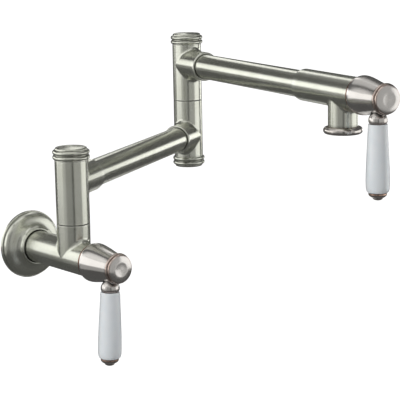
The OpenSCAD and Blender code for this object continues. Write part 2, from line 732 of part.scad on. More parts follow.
// Rolled collar that screws on under the spout and holds the aerator
module aerator_collar() color(polished) at_spout_valve() {
    round_r = spout_ring_h / 2;
    bore = spout_d / 2 + seat_clearance;
    room = aerator_r + seat_clearance;
    turned(downward(concat(
        [[bore, spout_drop - spout_ring_h]],
        arc_pts([spout_ring_d / 2 - round_r, spout_end], round_r, -90, 90, 12),
        [[aerator_r - aerator_wall, spout_drop], [aerator_r - aerator_wall, aerator_foot],
         [room, aerator_foot], [room, spout_end], [bore, spout_end]])));
}

// Aerator: a cup whose face has rings of small holes
module aerator_insert() color(slide_plastic) at_spout_valve() difference() {
    face_top = aerator_wall - aerator_foot;
    hole_reach = aerator_r - 2 * aerator_wall - aerator_hole_d;
    post(aerator_r, -aerator_foot, -aerator_top);
    post(aerator_r - aerator_wall, face_top, overrun - aerator_top);
    for (k = [0:aerator_rings]) let (count = max(1, 6 * k)) for (i = [0:count - 1])
        rotate([0, 0, 360 * i / count])
            translate([hole_reach * k / aerator_rings, 0, -aerator_foot - overrun])
                cylinder(h = aerator_wall + 2 * overrun, r = aerator_hole_d / 2);
}
module aerator_gasket() color(rubber) at_spout_valve()
    ring(aerator_r, spout_bore_d / 2, -aerator_top, -aerator_seat);

// The two valves and levers are alike, at their own places
module wall_cartridge_body() at_wall_valve() cartridge_body();
module wall_seat_seal() at_wall_valve() seat_seal();
module wall_fixed_disc() at_wall_valve() valve_disc(cartridge_tail, 0);
module wall_cartridge_o_ring() at_wall_valve() cartridge_o_ring();
module wall_bonnet_nut() at_wall_valve() bonnet_nut();
module wall_hub_ring() at_wall_valve() hub_ring();
module wall_stem() at_wall_valve() valve_stem();
module wall_turning_disc() at_wall_valve() valve_disc(turning_disc_x, 90);
module wall_lever_hub() at_wall_valve() lever_hub(-wall_lever_lean);
module wall_hub_screw() at_wall_valve() hub_screw();
module wall_end_cap() at_wall_valve() end_cap();
module wall_lever_collar() at_wall_valve() lever_collar(-wall_lever_lean);
module wall_lever_grip() at_wall_valve() lever_grip(-wall_lever_lean);
module wall_lever_rod() at_wall_valve() lever_rod(-wall_lever_lean);
module wall_grip_washers() at_wall_valve() grip_washers(-wall_lever_lean);
module wall_end_nut() at_wall_valve() end_nut(-wall_lever_lean);
module spout_cartridge_body() at_spout_valve() cartridge_body();
module spout_seat_seal() at_spout_valve() seat_seal();
module spout_fixed_disc() at_spout_valve() valve_disc(cartridge_tail, 0);
module spout_cartridge_o_ring() at_spout_valve() cartridge_o_ring();
module spout_bonnet_nut() at_spout_valve() bonnet_nut();
module spout_hub_ring() at_spout_valve() hub_ring();
module spout_stem() at_spout_valve() valve_stem();
module spout_turning_disc() at_spout_valve() valve_disc(turning_disc_x, 90);
module spout_lever_hub() at_spout_valve() lever_hub(0);
module spout_hub_screw() at_spout_valve() hub_screw();
module spout_end_cap() at_spout_valve() end_cap();
module spout_lever_collar() at_spout_valve() lever_collar(0);
module spout_lever_grip() at_spout_valve() lever_grip(0);
module spout_lever_rod() at_spout_valve() lever_rod(0);
module spout_grip_washers() at_spout_valve() grip_washers(0);
module spout_end_nut() at_spout_valve() end_nut(0);

wall_flange();
flange_rubber_ring();
wall_valve_body();
wall_spindle();
wall_spindle_o_rings();
wall_slide_washers();
wall_spindle_nut();
wall_cartridge_body();
wall_seat_seal();
wall_fixed_disc();
wall_cartridge_o_ring();
wall_bonnet_nut();
wall_hub_ring();
wall_stem();
wall_turning_disc();
wall_lever_hub();
wall_hub_screw();
wall_end_cap();
wall_lever_collar();
wall_lever_grip();
wall_lever_rod();
wall_grip_washers();
wall_end_nut();
wall_column();
wall_column_cap();
lower_arm_tube();
elbow_lower_housing();
elbow_bottom_cap();
elbow_spindle();
elbow_spindle_o_rings();
elbow_slide_washers();
elbow_spindle_nut();
elbow_spindle_plug();
elbow_upper_housing();
elbow_top_cap();
upper_arm_tube();
spout_valve_body();
aerator_collar();
aerator_insert();
aerator_gasket();
spout_cartridge_body();
spout_seat_seal();
spout_fixed_disc();
spout_cartridge_o_ring();
spout_bonnet_nut();
spout_hub_ring();
spout_stem();
spout_turning_disc();
spout_lever_hub();
spout_hub_screw();
spout_end_cap();
spout_lever_collar();
spout_lever_grip();
spout_lever_rod();
spout_grip_washers();
spout_end_nut();
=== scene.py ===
"""Dresses the wall mounted pot filler: turned nickel bodies, porcelain levers, studio and camera."""
import json
from collections import namedtuple
from math import pi, radians

import bmesh
import bpy
import numpy as np
from mathutils import Matrix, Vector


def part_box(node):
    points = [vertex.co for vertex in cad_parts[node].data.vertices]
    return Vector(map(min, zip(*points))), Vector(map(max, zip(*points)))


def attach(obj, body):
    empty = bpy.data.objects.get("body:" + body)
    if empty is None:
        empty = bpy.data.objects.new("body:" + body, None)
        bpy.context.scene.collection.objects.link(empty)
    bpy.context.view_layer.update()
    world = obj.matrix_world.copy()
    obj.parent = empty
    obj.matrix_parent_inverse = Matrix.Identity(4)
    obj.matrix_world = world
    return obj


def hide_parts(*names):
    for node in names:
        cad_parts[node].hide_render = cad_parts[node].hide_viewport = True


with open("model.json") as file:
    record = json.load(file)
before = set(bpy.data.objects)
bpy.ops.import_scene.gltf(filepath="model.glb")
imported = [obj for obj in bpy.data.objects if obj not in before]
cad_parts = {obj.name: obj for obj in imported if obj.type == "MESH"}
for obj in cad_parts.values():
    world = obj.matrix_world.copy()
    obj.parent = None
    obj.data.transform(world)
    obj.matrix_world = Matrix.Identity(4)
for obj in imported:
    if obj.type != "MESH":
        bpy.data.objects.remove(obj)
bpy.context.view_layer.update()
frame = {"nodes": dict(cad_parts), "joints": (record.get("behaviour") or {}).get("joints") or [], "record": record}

bl_info = {
    "name": "Wall Mounted Pot Filler",
    "version": (1, 0, 0),
    "blender": (4, 5, 0),
    "location": "View3D > Sidebar > Pot Filler",
    "description": "Builds the visible surfaces, finishes and studio of a jointed wall tap",
    "category": "Add Mesh",
}

MM = 0.001
UP = np.array([0.0, 0.0, 1.0])
# Middle of the set, and the bearing from there to the camera
STUDIO_CENTRE = np.array([0.1, -0.1, 0.08])
STUDIO_FRONT = radians(219.6)
# Name, bearing from the camera towards the left, elevation, width, height (degrees) and brightness
SOFTBOXES = (
    ("left_high", 70, 38, 60, 26, 0.95),
    ("left_box", 82, 6, 56, 36, 1.3),
    ("left_near", 50, 4, 18, 34, 0.65),
    ("left_far", 124, 11, 28, 20, 1.6),
    ("left_far_low", 136, -4, 22, 10, 0.2),
    ("left_low", 70, -17, 60, 18, 0.4),
    ("front_left", 20, 4, 42, 44, 0.34),
    ("front_high", -15, 37, 110, 26, 0.55),
    ("front_right", -44, 2, 62, 44, 0.45),
    ("right_box", -93, -2, 48, 34, 1.2),
    ("behind_right", -140, -1, 16, 14, 2.0),
    ("overhead", 20, 72, 150, 34, 0.95),
    ("back_high", 180, 68, 120, 44, 0.6),
    ("back_strip", 174, 34, 12, 38, 1.35),
    ("back_low", -176, -38, 28, 26, 0.8),
)
# Half width of the floor and side of a lamp in metres, and width of the sensor in millimetres
FLOOR_HALF = 40
LAMP_SIZE = 0.7
SENSOR = 36.0
KEY_AT = (-1.5, -0.2, 0.9)
FILL_AT = (1.4, -0.6, 0.5)
FLOOR_GLOW = 0.8
# Radius of the first card and the step to each next one, as shares of the tent's radius
FIRST_CARD = 0.97
CARD_STEP = 0.005

# Counts of rows and columns of the surfaces
SEGMENTS = 160
FLANGE_SEGMENTS = 224
TUBE_ROWS = 60
THREAD_ROWS = 130
TEE_COLUMNS = 384
NECK_ROWS = 14
WEB_ROWS = 12
SKIN_ROWS = 40
CARD_COLUMNS = 25
CARD_ROWS = 13

# Vertices closer than this, in metres, become one
WELD = 1e-6
SHARP_ANGLE = radians(38)
# Roundings of small edges, in millimetres
HAIR = 0.05
FINE = 0.1
CRISP = 0.3
# Width of the band beside a seam, in roundings of the seam's edge
BAND = 4

# Brushing and cutter marks, in waves per metre across and along a piece
BRUSHING = (30, 30, 2600)
CUTTER_RINGS = (300, 300, 3000)
# Clouds of polish, tarnish and glaze, mottling and orange peel, in waves per metre
PATTERNS = {"polish": 38.0, "tarnish": 140.0, "glaze": 90.0, "mottle": 110.0, "peel": 420.0, "floor": 3.0}
# How far the painted shade in grooves, seams and gaps and the worn edges reach, and how deep a fine relief is, in
# metres
PAINTED_SHADE_REACH = 0.0032
EDGE_REACH = 0.002
RELIEF = 0.0001
AO_RAYS = 8
# Worn tones of both nickels, and the cloudy tint of the bright one
WORN_SATIN = (0.77, 0.78, 0.71)
WORN_COPPERY = (0.56, 0.36, 0.28)
ROSY = (0.72, 0.69, 0.67)
# The finish of each material slot
LOOKS = {
    "satin_nickel": "brushed_nickel",
    "polished_nickel": "bright_nickel",
    "seam_copper": "copper_edge",
    "porcelain": "white_porcelain",
    "inner_brass": "turned_brass",
    "disc_ceramic": "fired_alumina",
    "seal_rubber": "black_rubber",
    "slide_plastic": "grey_acetal",
}

Place = namedtuple("Place", "origin axes")
Grid = namedtuple("Grid", "points grain lay wraps")


# Where things are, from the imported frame

def unit(v):
    """Each vector divided by its length."""
    return v / np.linalg.norm(v, axis=-1, keepdims=True)


def joint(name, key):
    """A joint's place in metres (pos_m) or its axis, in the frame."""
    return np.array(next(j[key] for j in frame["joints"] if j["name"] == name), float)


def box_mm(node):
    """Lowest and highest corner of a solid of the frame, in millimetres."""
    low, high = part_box(node)
    return np.array(low) / MM, np.array(high) / MM


def at_height(axis, z):
    """The point of an upright axis at a height in millimetres."""
    return np.array([axis[0], axis[1], z * MM])


def upright(origin, along=(1.0, 0.0, 0.0)):
    """A place whose Z is up and whose X points along an arm."""
    x = unit(np.array(along, float))
    return Place(np.array(origin, float), np.stack([x, np.cross(UP, x), UP]))


def facing(origin, out):
    """A place whose Z points out along a valve and whose X is up."""
    z = unit(np.array(out, float))
    x = unit(UP - z * (UP @ z))
    return Place(np.array(origin, float), np.stack([x, np.cross(z, x), z]))


WALL_COLUMN = joint("wall_swivel", "pos_m")
ELBOW = joint("elbow_swivel", "pos_m")
WALL_OUT = joint("wall_lever_turn", "axis")
SPOUT_OUT = joint("spout_lever_turn", "axis")
WALL_AXIS = WALL_COLUMN * [1, 1, 0]
LEVER_AT = np.linalg.norm(joint("wall_lever_turn", "pos_m") - WALL_AXIS)
SPOUT_AXIS = joint("spout_lever_turn", "pos_m") - LEVER_AT * SPOUT_OUT
LOWER_ALONG = unit((ELBOW - WALL_COLUMN) * [1, 1, 0])
UPPER_ALONG = unit((SPOUT_AXIS - ELBOW) * [1, 1, 0])
LOWER_LEN = np.linalg.norm((ELBOW - WALL_COLUMN)[:2]) / MM
UPPER_LEN = np.linalg.norm((SPOUT_AXIS - ELBOW)[:2]) / MM
LOWER_Z = WALL_COLUMN[2] / MM
UPPER_Z = ELBOW[2] / MM
WALL_REACH = -WALL_COLUMN[1] / MM
VALVES = (("wall", facing(WALL_AXIS, WALL_OUT)), ("spout", facing(SPOUT_AXIS, SPOUT_OUT)))


# Outlines of turned pieces: arrays of (radius, height) in millimetres

def spread(n):
    """n + 1 steps from 0 to 1 that crowd together at both ends, as a half cosine wave does."""
    return (1 - np.cos(np.linspace(0, pi, n + 1))) / 2


def arc(centre, r, start, stop, n=12):
    """Points at radius r round a centre, from one angle to another, in degrees."""
    a = np.radians(np.linspace(start, stop, n + 1))
    return np.array(centre) + r * np.stack([np.cos(a), np.sin(a)], -1)


def curve(p0, p1, p2, p3, n=20):
    """A cubic curve: the four points weighted by the terms of (u + t) cubed."""
    t = np.linspace(0, 1, n + 1)[:, None]
    u = 1 - t
    p0, p1, p2, p3 = (np.array(p, float) for p in (p0, p1, p2, p3))
    return u ** 3 * p0 + 3 * u * u * t * p1 + 3 * u * t * t * p2 + t ** 3 * p3


def rounded(corners, closed=False, steps=7, side=6):
    """An outline through corners (radius, height, rounding).

    Each corner is an arc tangent to its two sides: its centre lies on the bisector, at the rounding
    over the sine of the half angle. Sides are sampled by the half cosine wave.
    """
    data = np.array(corners, float)
    pts, r = data[:, :2], data[:, 2].copy()
    if not closed:
        r[0] = r[-1] = 0
    back = unit(np.roll(pts, 1, 0) - pts)
    ahead = unit(np.roll(pts, -1, 0) - pts)
    half = np.arccos(np.clip((back * ahead).sum(1), -1, 1)) / 2
    half = np.clip(half, 1e-3, pi / 2 - 1e-3)
    cut = (r / np.tan(half))[:, None]
    centre = pts + unit(back + ahead + 1e-12) * (r / np.sin(half))[:, None]
    first, last = pts + back * cut - centre, pts + ahead * cut - centre
    sweep = (pi - 2 * half)[:, None, None]
    t = np.linspace(0, 1, steps + 1)[None, :, None]
    arcs = centre[:, None] + (np.sin((1 - t) * sweep) * first[:, None]
                              + np.sin(t * sweep) * last[:, None]) / np.sin(sweep)
    w = spread(side)[1:-1, None]
    sides = arcs[:, -1, None] * (1 - w) + np.roll(arcs[:, 0], -1, 0)[:, None] * w
    rows = np.concatenate([arcs, sides], 1).reshape(-1, 2)
    return rows if closed else rows[:len(rows) - (side - 1)]


def mirrored(outline):
    """The same outline counted downwards."""
    return outline * [1, -1]


# Surfaces

def lathe(outline, closed=False, segments=SEGMENTS):
    """A turned surface: the point at angle a is (r cos a, r sin a, h) for each (r, h) of the outline.

    The grain runs along the outline. The lay is (x, y, length along the outline).
    """
    if closed:
        outline = np.vstack([outline, outline[:1]])
    a = np.linspace(0, 2 * pi, segments, endpoint=False)
    ca, sa = np.cos(a), np.sin(a)
    r, h = outline[:, :1], outline[:, 1:]
    points = np.stack([r * ca, r * sa, h + 0 * a], -1)
    slope = unit(np.gradient(outline, axis=0) + [0, 1e-9])
    grain = np.stack([slope[:, :1] * ca, slope[:, :1] * sa, slope[:, 1:] + 0 * a], -1)
    along = np.cumsum(np.hypot(*np.diff(outline, axis=0, prepend=outline[:1]).T))
    lay = np.stack([points[..., 0], points[..., 1], along[:, None] + 0 * a], -1)
    return Grid(points, grain, lay, True)


def thread(points, start, span, pitch, depth):
    """Pushes a wall in and out by a triangle wave of height over pitch less turns, fading at both ends."""
    r = np.hypot(points[..., 0], points[..., 1])
    turns = np.arctan2(points[..., 1], points[..., 0]) / (2 * pi)
    z = points[..., 2]
    phase = ((z - start) / pitch - turns) % 1
    wave = np.abs(2 * phase - 1) - 0.5
    into = (z - start) / span
    fade = np.clip(np.minimum(into, 1 - into) * span / pitch, 0, 1)
    scale = 1 + depth * wave * fade / np.maximum(r, 1e-6)
    return points * np.stack([scale, scale, np.ones_like(scale)], -1)


def tee(main_r, low, high, branch_r, mouth, fillet, low_end, high_end):
    """A tube along Z with a branch along X, blended by a ball of the fillet's radius, and its two ends.

    The ball rolls on both tubes, so its centre is at distance main_r + fillet from Z and
    branch_r + fillet from X. Between its two contacts the surface is an arc. From the contact on the
    main tube, straight lines in (angle, height) run out to the edges of the unrolled tube.
    """
    j = np.arange(TEE_COLUMNS)
    a = 2 * pi * j / TEE_COLUMNS
    ca, sa = np.cos(a), np.sin(a)
    ball_r, ball_d = branch_r + fillet, main_r + fillet
    x = np.sqrt(np.maximum(ball_d ** 2 - (ball_r * ca) ** 2, 1e-4))
    head = np.stack([mouth[:, 1:] + 0 * a, mouth[:, :1] * ca, mouth[:, :1] * sa], -1)
    contact = np.stack([x, branch_r * ca, branch_r * sa], -1)
    w = spread(NECK_ROWS)[1:, None, None]
    neck = head[-1] * (1 - w) + contact * w
    centre = np.stack([x, ball_r * ca, ball_r * sa], -1)
    n0 = np.stack([0 * a, -ca, -sa], -1)
    n1 = -np.stack([x, ball_r * ca, 0 * a], -1) / ball_d
    sweep = np.arccos(np.clip((n0 * n1).sum(-1, keepdims=True), -1, 1 - 1e-6))
    t = np.linspace(0, 1, WEB_ROWS + 1)[1:, None, None]
    web = centre + fillet * (np.sin((1 - t) * sweep) * n0 + np.sin(t * sweep) * n1) / np.sin(sweep)
    corner = TEE_COLUMNS // 16
    half = TEE_COLUMNS // 2
    knots = [-corner, corner, half - corner, half + corner, 2 * half - corner, 2 * half + corner]
    edge_a = np.interp(j, knots, [pi, pi, -pi, -pi, pi, pi])
    edge_z = np.interp(j, knots, [low, high, high, low, low, high])
    hole_a = np.arctan2(ball_r * ca, x)
    s = np.linspace(0, 1, SKIN_ROWS + 1)[1:, None]
    around, z = hole_a * (1 - s) + edge_a * s, ball_r * sa * (1 - s) + edge_z * s
    skin = np.stack([main_r * np.cos(around), main_r * np.sin(around), z], -1)
    points = np.concatenate([head, neck, web, skin])
    rows = np.concatenate([np.zeros(len(head) + len(neck)), t[:, 0, 0], np.ones(len(skin))])
    grain = np.stack([1 - rows, 0 * rows, rows], -1)[:, None] + np.zeros_like(points)
    spans = np.linspace(pi, -pi, half - 2 * corner + 1)
    lay = np.where(rows[:, None, None] < 0.5, np.roll(points, -1, -1), points)
    grids = [Grid(points, grain, lay, True)]
    for end in (low_end, high_end):
        r, h = end[:, :1], end[:, 1:]
        rim = np.stack([r * np.cos(spans), r * np.sin(spans), h + 0 * spans], -1)
        grids.append(Grid(rim, np.broadcast_to(UP, rim.shape), rim, False))
    return grids


def faces_of(points, wraps, first=0):
    """Four corners for each cell of a grid of points, numbered row by row from first."""
    rows, cols = points.shape[:2]
    i = np.arange(rows - 1)[:, None] * cols
    j = np.arange(cols if wraps else cols - 1)[None]
    k = (j + 1) % cols
    return np.stack([i + j, i + k, i + cols + k, i + cols + j], -1).reshape(-1, 4) + first


def new_mesh(name, points, faces, material):
    """A mesh of one material from arrays of points and faces."""
    mesh = bpy.data.meshes.new(name)
    mesh.from_pydata(points.tolist(), [], faces.tolist())
    mesh.materials.append(material)
    return mesh


def linked(name, data):
    """A new object of that name in the scene."""
    made = bpy.data.objects.new(name, data)
    bpy.context.scene.collection.objects.link(made)
    return made


def add_piece(name, body, slot, place, grids, *nodes):
    """Puts grids of millimetres into one closed mesh at a place, and lets it ride on a body."""
    starts = np.cumsum([0] + [g.points[..., 0].size for g in grids])
    local = np.concatenate([g.points.reshape(-1, 3) for g in grids])
    grain = np.concatenate([g.grain.reshape(-1, 3) for g in grids])
    cells = np.concatenate([faces_of(g.points, g.wraps, n) for g, n in zip(grids, starts)])
    world = place.origin + local * MM @ place.axes
    lay = np.concatenate([g.lay.reshape(-1, 3) for g in grids]) * MM
    mesh = new_mesh(name, world, cells, finish(LOOKS[slot]))
    for label, values in (("grain", unit(grain) @ place.axes), ("lay", lay)):
        layer = mesh.attributes.new(label, "FLOAT_VECTOR", "POINT")
        layer.data.foreach_set("vector", values.astype(np.float32).ravel())
    shell = bmesh.new()
    shell.from_mesh(mesh)
    bmesh.ops.remove_doubles(shell, verts=shell.verts, dist=WELD)
    bmesh.ops.dissolve_degenerate(shell, edges=shell.edges, dist=WELD / 2)
    bmesh.ops.recalc_face_normals(shell, faces=shell.faces)
    shell.to_mesh(mesh)
    shell.free()
    mesh.shade_smooth()
    mesh.set_sharp_from_angle(angle=SHARP_ANGLE)
    piece = linked(name, mesh)
    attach(piece, body)
    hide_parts(*nodes)


# Finishes

def node_maker(tree):
    """A function that adds a node to a tree, sets it, and links or fills its inputs."""
    def node(kind, inputs=None, **settings):
        made = tree.nodes.new("ShaderNode" + kind)
        for key, value in settings.items():
            setattr(made, key, value)
        for key, value in (inputs or {}).items():
            if isinstance(value, bpy.types.NodeSocket):
                tree.links.new(value, made.inputs[key])
            else:
                made.inputs[key].default_value = value
        return made
    return node


def new_material(name):
    """An empty node material and the function that fills it."""
    material = bpy.data.materials.new(name)
    material.use_nodes = True
    material.node_tree.nodes.clear()
    return material, node_maker(material.node_tree)


def principled(node, inputs):
    """A principled shader with these inputs, wired to the output."""
    shader = node("BsdfPrincipled", inputs)
    node("OutputMaterial", {0: shader.outputs[0]})


def noise(node, vector, scale, detail, roughness=0.5):
    """Fractal noise of a vector, centred on one half."""
    inputs = {"Vector": vector, "Scale": scale, "Detail": detail, "Roughness": roughness}
    return node("TexNoise", inputs).outputs["Fac"]


def ramp(node, amount, *stops):
    """A colour ramp through (place, colour) stops."""
    made = node("ValToRGB", {0: amount})
    for element, (place, tone) in zip(made.color_ramp.elements, stops):
        element.position = place
        element.color = (*tone, 1.0)
    return made.outputs[0]


def remap(node, amount, low, high, start=0.3, stop=0.7):
    """Stretches the range from start to stop over low to high."""
    return node("MapRange", {0: amount, 1: start, 2: stop, 3: low, 4: high}).outputs[0]


def multiplied(node, first, second):
    """The product of two colours."""
    return node("Mix", {0: 1.0, 6: first, 7: second}, data_type="RGBA", blend_type="MULTIPLY").outputs[2]


def relief(node, height, strength):
    """The normal of a fine relief."""
    return node("Bump", {"Height": height, "Strength": strength, "Distance": RELIEF}).outputs[0]


def grey(value):
    """A neutral colour."""
    return (value, value, value)


def nickel(name, tone, tint, worn, roughness, swing, anisotropy):
    """Nickel plate over turned brass: rings of fine brushing round the axis, and slow clouds of polish.

    The brushing is noise of the lay, which changes quickly along the outline and slowly round the
    axis. It moves the roughness and the tone, and a slow noise tints the metal. Grooves, seams and
    the gaps between pieces get painted shade from an occlusion node, and the worn tone shows on
    sharp edges, where the polish cuts through the plate.
    """
    material, node = new_material(name)
    lay = node("Attribute", attribute_name="lay").outputs["Vector"]
    grain = node("Attribute", attribute_name="grain").outputs["Vector"]
    rings = node("Mapping", {"Vector": lay, "Scale": BRUSHING}).outputs[0]
    fine = noise(node, rings, 1.0, 2.0, 0.6)
    clouds = noise(node, lay, PATTERNS["polish"], 2.0)
    shade = ramp(node, clouds, (0.3, tint), (0.62, tone))
    streaked = multiplied(node, shade, ramp(node, fine, (0.3, grey(0.955)), (0.7, grey(1.0))))
    # Painted shade: an occlusion node darkens the colour, down to a tenth, where other surfaces lie close, in
    # grooves, seams and the gaps between pieces
    seam = node("AmbientOcclusion", {"Distance": PAINTED_SHADE_REACH}, samples=AO_RAYS).outputs["AO"]
    with_painted_shade = multiplied(node, streaked, ramp(node, seam, (0.4, grey(0.1)), (0.97, grey(1.0))))
    edge = node("AmbientOcclusion", {"Distance": EDGE_REACH}, samples=AO_RAYS, inside=True,
                only_local=True).outputs["AO"]
    wear = ramp(node, edge, (0.68, grey(1.0)), (0.96, grey(0.0)))
    both = node("Math", {0: fine, 1: clouds}, operation="ADD").outputs[0]
    principled(node, {
        "Base Color": node("Mix", {0: wear, 6: with_painted_shade, 7: (*worn, 1.0)}, data_type="RGBA").outputs[2],
        "Roughness": remap(node, both, roughness - swing, roughness + swing, 0.6, 1.4),
        "Metallic": 1.0,
        "Anisotropic": anisotropy,
        "Tangent": grain,
    })
    return material


def porcelain(name, tone):
    """White glazed porcelain: a soft body, faint mottling under the glaze and a slight orange peel."""
    material, node = new_material(name)
    lay = node("Attribute", attribute_name="lay").outputs["Vector"]
    clouds = noise(node, lay, PATTERNS["glaze"], 3.0)
    peel = noise(node, lay, PATTERNS["peel"], 2.0)
    cool = tuple(c * share for c, share in zip(tone, (0.965, 0.98, 0.99)))
    principled(node, {
        "Base Color": ramp(node, clouds, (0.35, cool), (0.65, tone)),
        "Roughness": remap(node, clouds, 0.3, 0.38),
        "Normal": relief(node, peel, 0.12),
        "Coat Weight": 0.9,
        "Coat Roughness": 0.05,
        "Subsurface Weight": 0.12,
        "Subsurface Radius": (0.002, 0.0016, 0.0014),
    })
    return material


def inner_metal(name, tone, tint, roughness):
    """Bare machined metal: cutter rings along the world's axes and slow clouds of tarnish."""
    material, node = new_material(name)
    place = node("TexCoord").outputs["Object"]
    rings = node("Mapping", {"Vector": place, "Scale": CUTTER_RINGS}).outputs[0]
    fine = noise(node, rings, 1.0, 2.0)
    tarnish = noise(node, place, PATTERNS["tarnish"], 4.0)
    principled(node, {
        "Base Color": ramp(node, tarnish, (0.3, tint), (0.7, tone)),
        "Roughness": remap(node, fine, roughness * 0.8, roughness * 1.2),
        "Normal": relief(node, fine, 0.15),
        "Metallic": 1.0,
    })
    return material


def moulded(name, tone, tint, roughness, grain_size, depth):
    """Rubber, plastic or fired ceramic: mottled colour and a fine even grain."""
    material, node = new_material(name)
    place = node("TexCoord").outputs["Object"]
    fine = noise(node, place, grain_size, 3.0)
    mottle = noise(node, place, PATTERNS["mottle"], 4.0)
    principled(node, {
        "Base Color": ramp(node, mottle, (0.3, tint), (0.7, tone)),
        "Roughness": remap(node, fine, roughness * 0.85, roughness * 1.15),
        "Normal": relief(node, fine, depth),
    })
    return material


def finish(name):
    """The finish of that name, made once.

    Values are the maker's, in order: tone, cloudy tint, then for nickel the worn tone, roughness, its
    swing and anisotropy, and for the others roughness, size of the grain and its depth.
    """
    made = bpy.data.materials.get(name)
    if made:
        return made
    f = settings("finish")
    maker, *values = {
        "brushed_nickel": (nickel, f.satin_colour, f.warm_tint, WORN_SATIN, f.satin_roughness, 0.012, 0.6),
        "bright_nickel": (nickel, f.bright_colour, ROSY, WORN_COPPERY, f.bright_roughness, 0.01, 0.6),
        "copper_edge": (nickel, (0.24, 0.13, 0.09), (0.17, 0.09, 0.06), (0.25, 0.12, 0.08), 0.3, 0.02, 0.2),
        "white_porcelain": (porcelain, f.porcelain_colour),
        "turned_brass": (inner_metal, (0.66, 0.46, 0.2), (0.5, 0.34, 0.14), 0.28),
        "fired_alumina": (moulded, (0.72, 0.68, 0.6), (0.6, 0.56, 0.5), 0.25, 1800.0, 0.06),
        "black_rubber": (moulded, grey(0.02), grey(0.012), 0.55, 2400.0, 0.2),
        "grey_acetal": (moulded, grey(0.05), grey(0.035), 0.45, 1500.0, 0.1),
    }[name]
    return maker(name, *values)


# Sizes and colours that a user would change

def length(label, text, size):
    """A length property whose default is given in millimetres."""
    return bpy.props.FloatProperty(name=label, description=text, default=size * MM, unit="LENGTH",
                                   precision=5)


def angle(label, text, degrees):
    """An angle property whose default is given in degrees."""
    return bpy.props.FloatProperty(name=label, description=text, default=radians(degrees), subtype="ANGLE")


def power(label, text, watts):
    """A lamp's power."""
    return bpy.props.FloatProperty(name=label, description=text, default=watts, unit="POWER")


def swatch(label, text, value):
    """A colour property."""
    return bpy.props.FloatVectorProperty(name=label, description=text, default=value,
                                         subtype="COLOR", min=0.0, max=1.0)


def factor(label, text, value):
    """A plain factor from 0 to 1."""
    return bpy.props.FloatProperty(name=label, description=text, default=value, min=0.0, max=1.0,
                                   subtype="FACTOR")


class FlangeSizes(bpy.types.PropertyGroup):
    """Sizes of the wall flange."""
    rim: length("Rim", "Thickness of the back rim", 3.0)
    step: length("Step", "Step of the second rim inside the first", 1.3)
    lip: length("Lip", "Width of the rolled lip round the inlet tube", 1.9)
    wall: length("Wall", "Wall of the flange, hollow behind", 2.4)
    gap: length("Gap", "Gap between flange and inlet tube", 0.4)


class BodySizes(bpy.types.PropertyGroup):
    """Sizes of the columns, valve bodies and arm sockets."""
    column_r: length("Column radius", "Radius of the swivel columns", 15.0)
    valve_r: length("Valve radius", "Radius of the valve bodies", 14.8)
    socket_r: length("Socket radius", "Radius of the arm sockets", 14.8)
    tube_r: length("Arm radius", "Radius of the arm tubes", 12.6)
    lip: length("Socket lip", "Rounding of a socket's mouth", 1.6)
    edge: length("Seam edge", "Rounding of the edges at a seam", 0.35)
    fillet: length("Fillet", "Radius of the inner corners between tubes", 4.5)
    socket_gap: length("Socket gap", "Shadow gap between a socket and its tube", 0.65)
    socket_depth: length("Gap depth", "Depth of that shadow gap", 6.0)
    front: length("Valve front", "Branch axis to the front face of a valve body", 28.0)
    wall_socket: length("Wall socket", "First column to its socket's mouth", 39.0)
    lower_socket: length("Lower elbow socket", "Elbow axis to the lower mouth", 35.0)
    upper_socket: length("Upper elbow socket", "Elbow axis to the upper mouth", 41.0)
    spout_socket: length("Spout socket", "Spout axis to the mouth behind it", 64.0)
    spout_r: length("Spout radius", "Radius of the spout tube", 13.4)
    inlet_r: length("Inlet radius", "Radius of the inlet thread", 9.9)
    inlet_depth: length("Inlet depth", "Length of the inlet thread", 16.0)
    thread_pitch: length("Thread pitch", "Pitch of the inlet thread", 1.81)
    thread_depth: length("Thread depth", "Depth of the inlet thread", 0.9)
    passage_r: length("Passage radius", "Radius of the water passage", 6.5)


class CapSizes(bpy.types.PropertyGroup):
    """Sizes of the column caps."""
    height: length("Height", "Height of a cap", 12.2)
    proud: length("Bead proud", "How far the beads stand proud of the column", 1.7)
    bead_r: length("Bead radius", "Section radius of a bead", 2.1)
    bead_up: length("First bead", "Foot of the cap to the first bead", 2.8)
    pitch: length("Bead pitch", "Distance between the beads", 4.6)


class HubSizes(bpy.types.PropertyGroup):
    """Sizes of the lever hubs and their end caps."""
    ring_r: length("Ring radius", "Radius of the coppery ring in the seam", 15.9)
    ring_lap: length("Ring lap", "How far that ring laps over the valve body", 0.7)
    back_r: length("Back radius", "Radius at the seam", 15.7)
    bell_r: length("Bell radius", "Largest radius", 17.4)
    bell_at: length("Bell place", "Back to the largest radius", 3.7)
    neck_r: length("Neck radius", "Smallest radius", 12.2)
    neck_at: length("Neck place", "Back to the neck", 34.4)
    bead_r: length("Bead radius", "Outer radius of the bead", 13.8)
    bead_t: length("Bead thickness", "Thickness of the bead", 3.2)
    cap_r: length("Cap radius", "Radius of the end cap", 13.1)
    cap_t: length("Cap thickness", "Thickness of the end cap", 3.6)
    dish: length("Dish", "Depth of the dish in the end cap", 0.2)


class LeverSizes(bpy.types.PropertyGroup):
    """Sizes of the levers, counted down from the valve axis."""
    lean: angle("Lean", "Lean of the wall lever towards -X", 2.5)
    collar_foot: length("Collar foot", "Valve axis to the foot of the collar", 22.0)
    collar_r: length("Collar radius", "Largest radius of the collar", 8.4)
    collar_top_r: length("Collar top radius", "Radius where it leaves the hub", 4.5)
    washer: length("Washer", "Soft washers at the ends of the grip", 0.5)
    grip_len: length("Grip length", "Length of the porcelain grip", 59.6)
    grip_top_r: length("Grip top radius", "Radius at the top of the grip", 8.65)
    grip_max_r: length("Grip radius", "Largest radius of the grip", 10.5)
    grip_foot_r: length("Grip foot radius", "Radius at the foot of the grip", 8.5)
    rod_r: length("Rod radius", "Radius of the rod through the grip", 3.0)
    nut_h: length("Nut height", "Height of the domed end nut", 6.6)


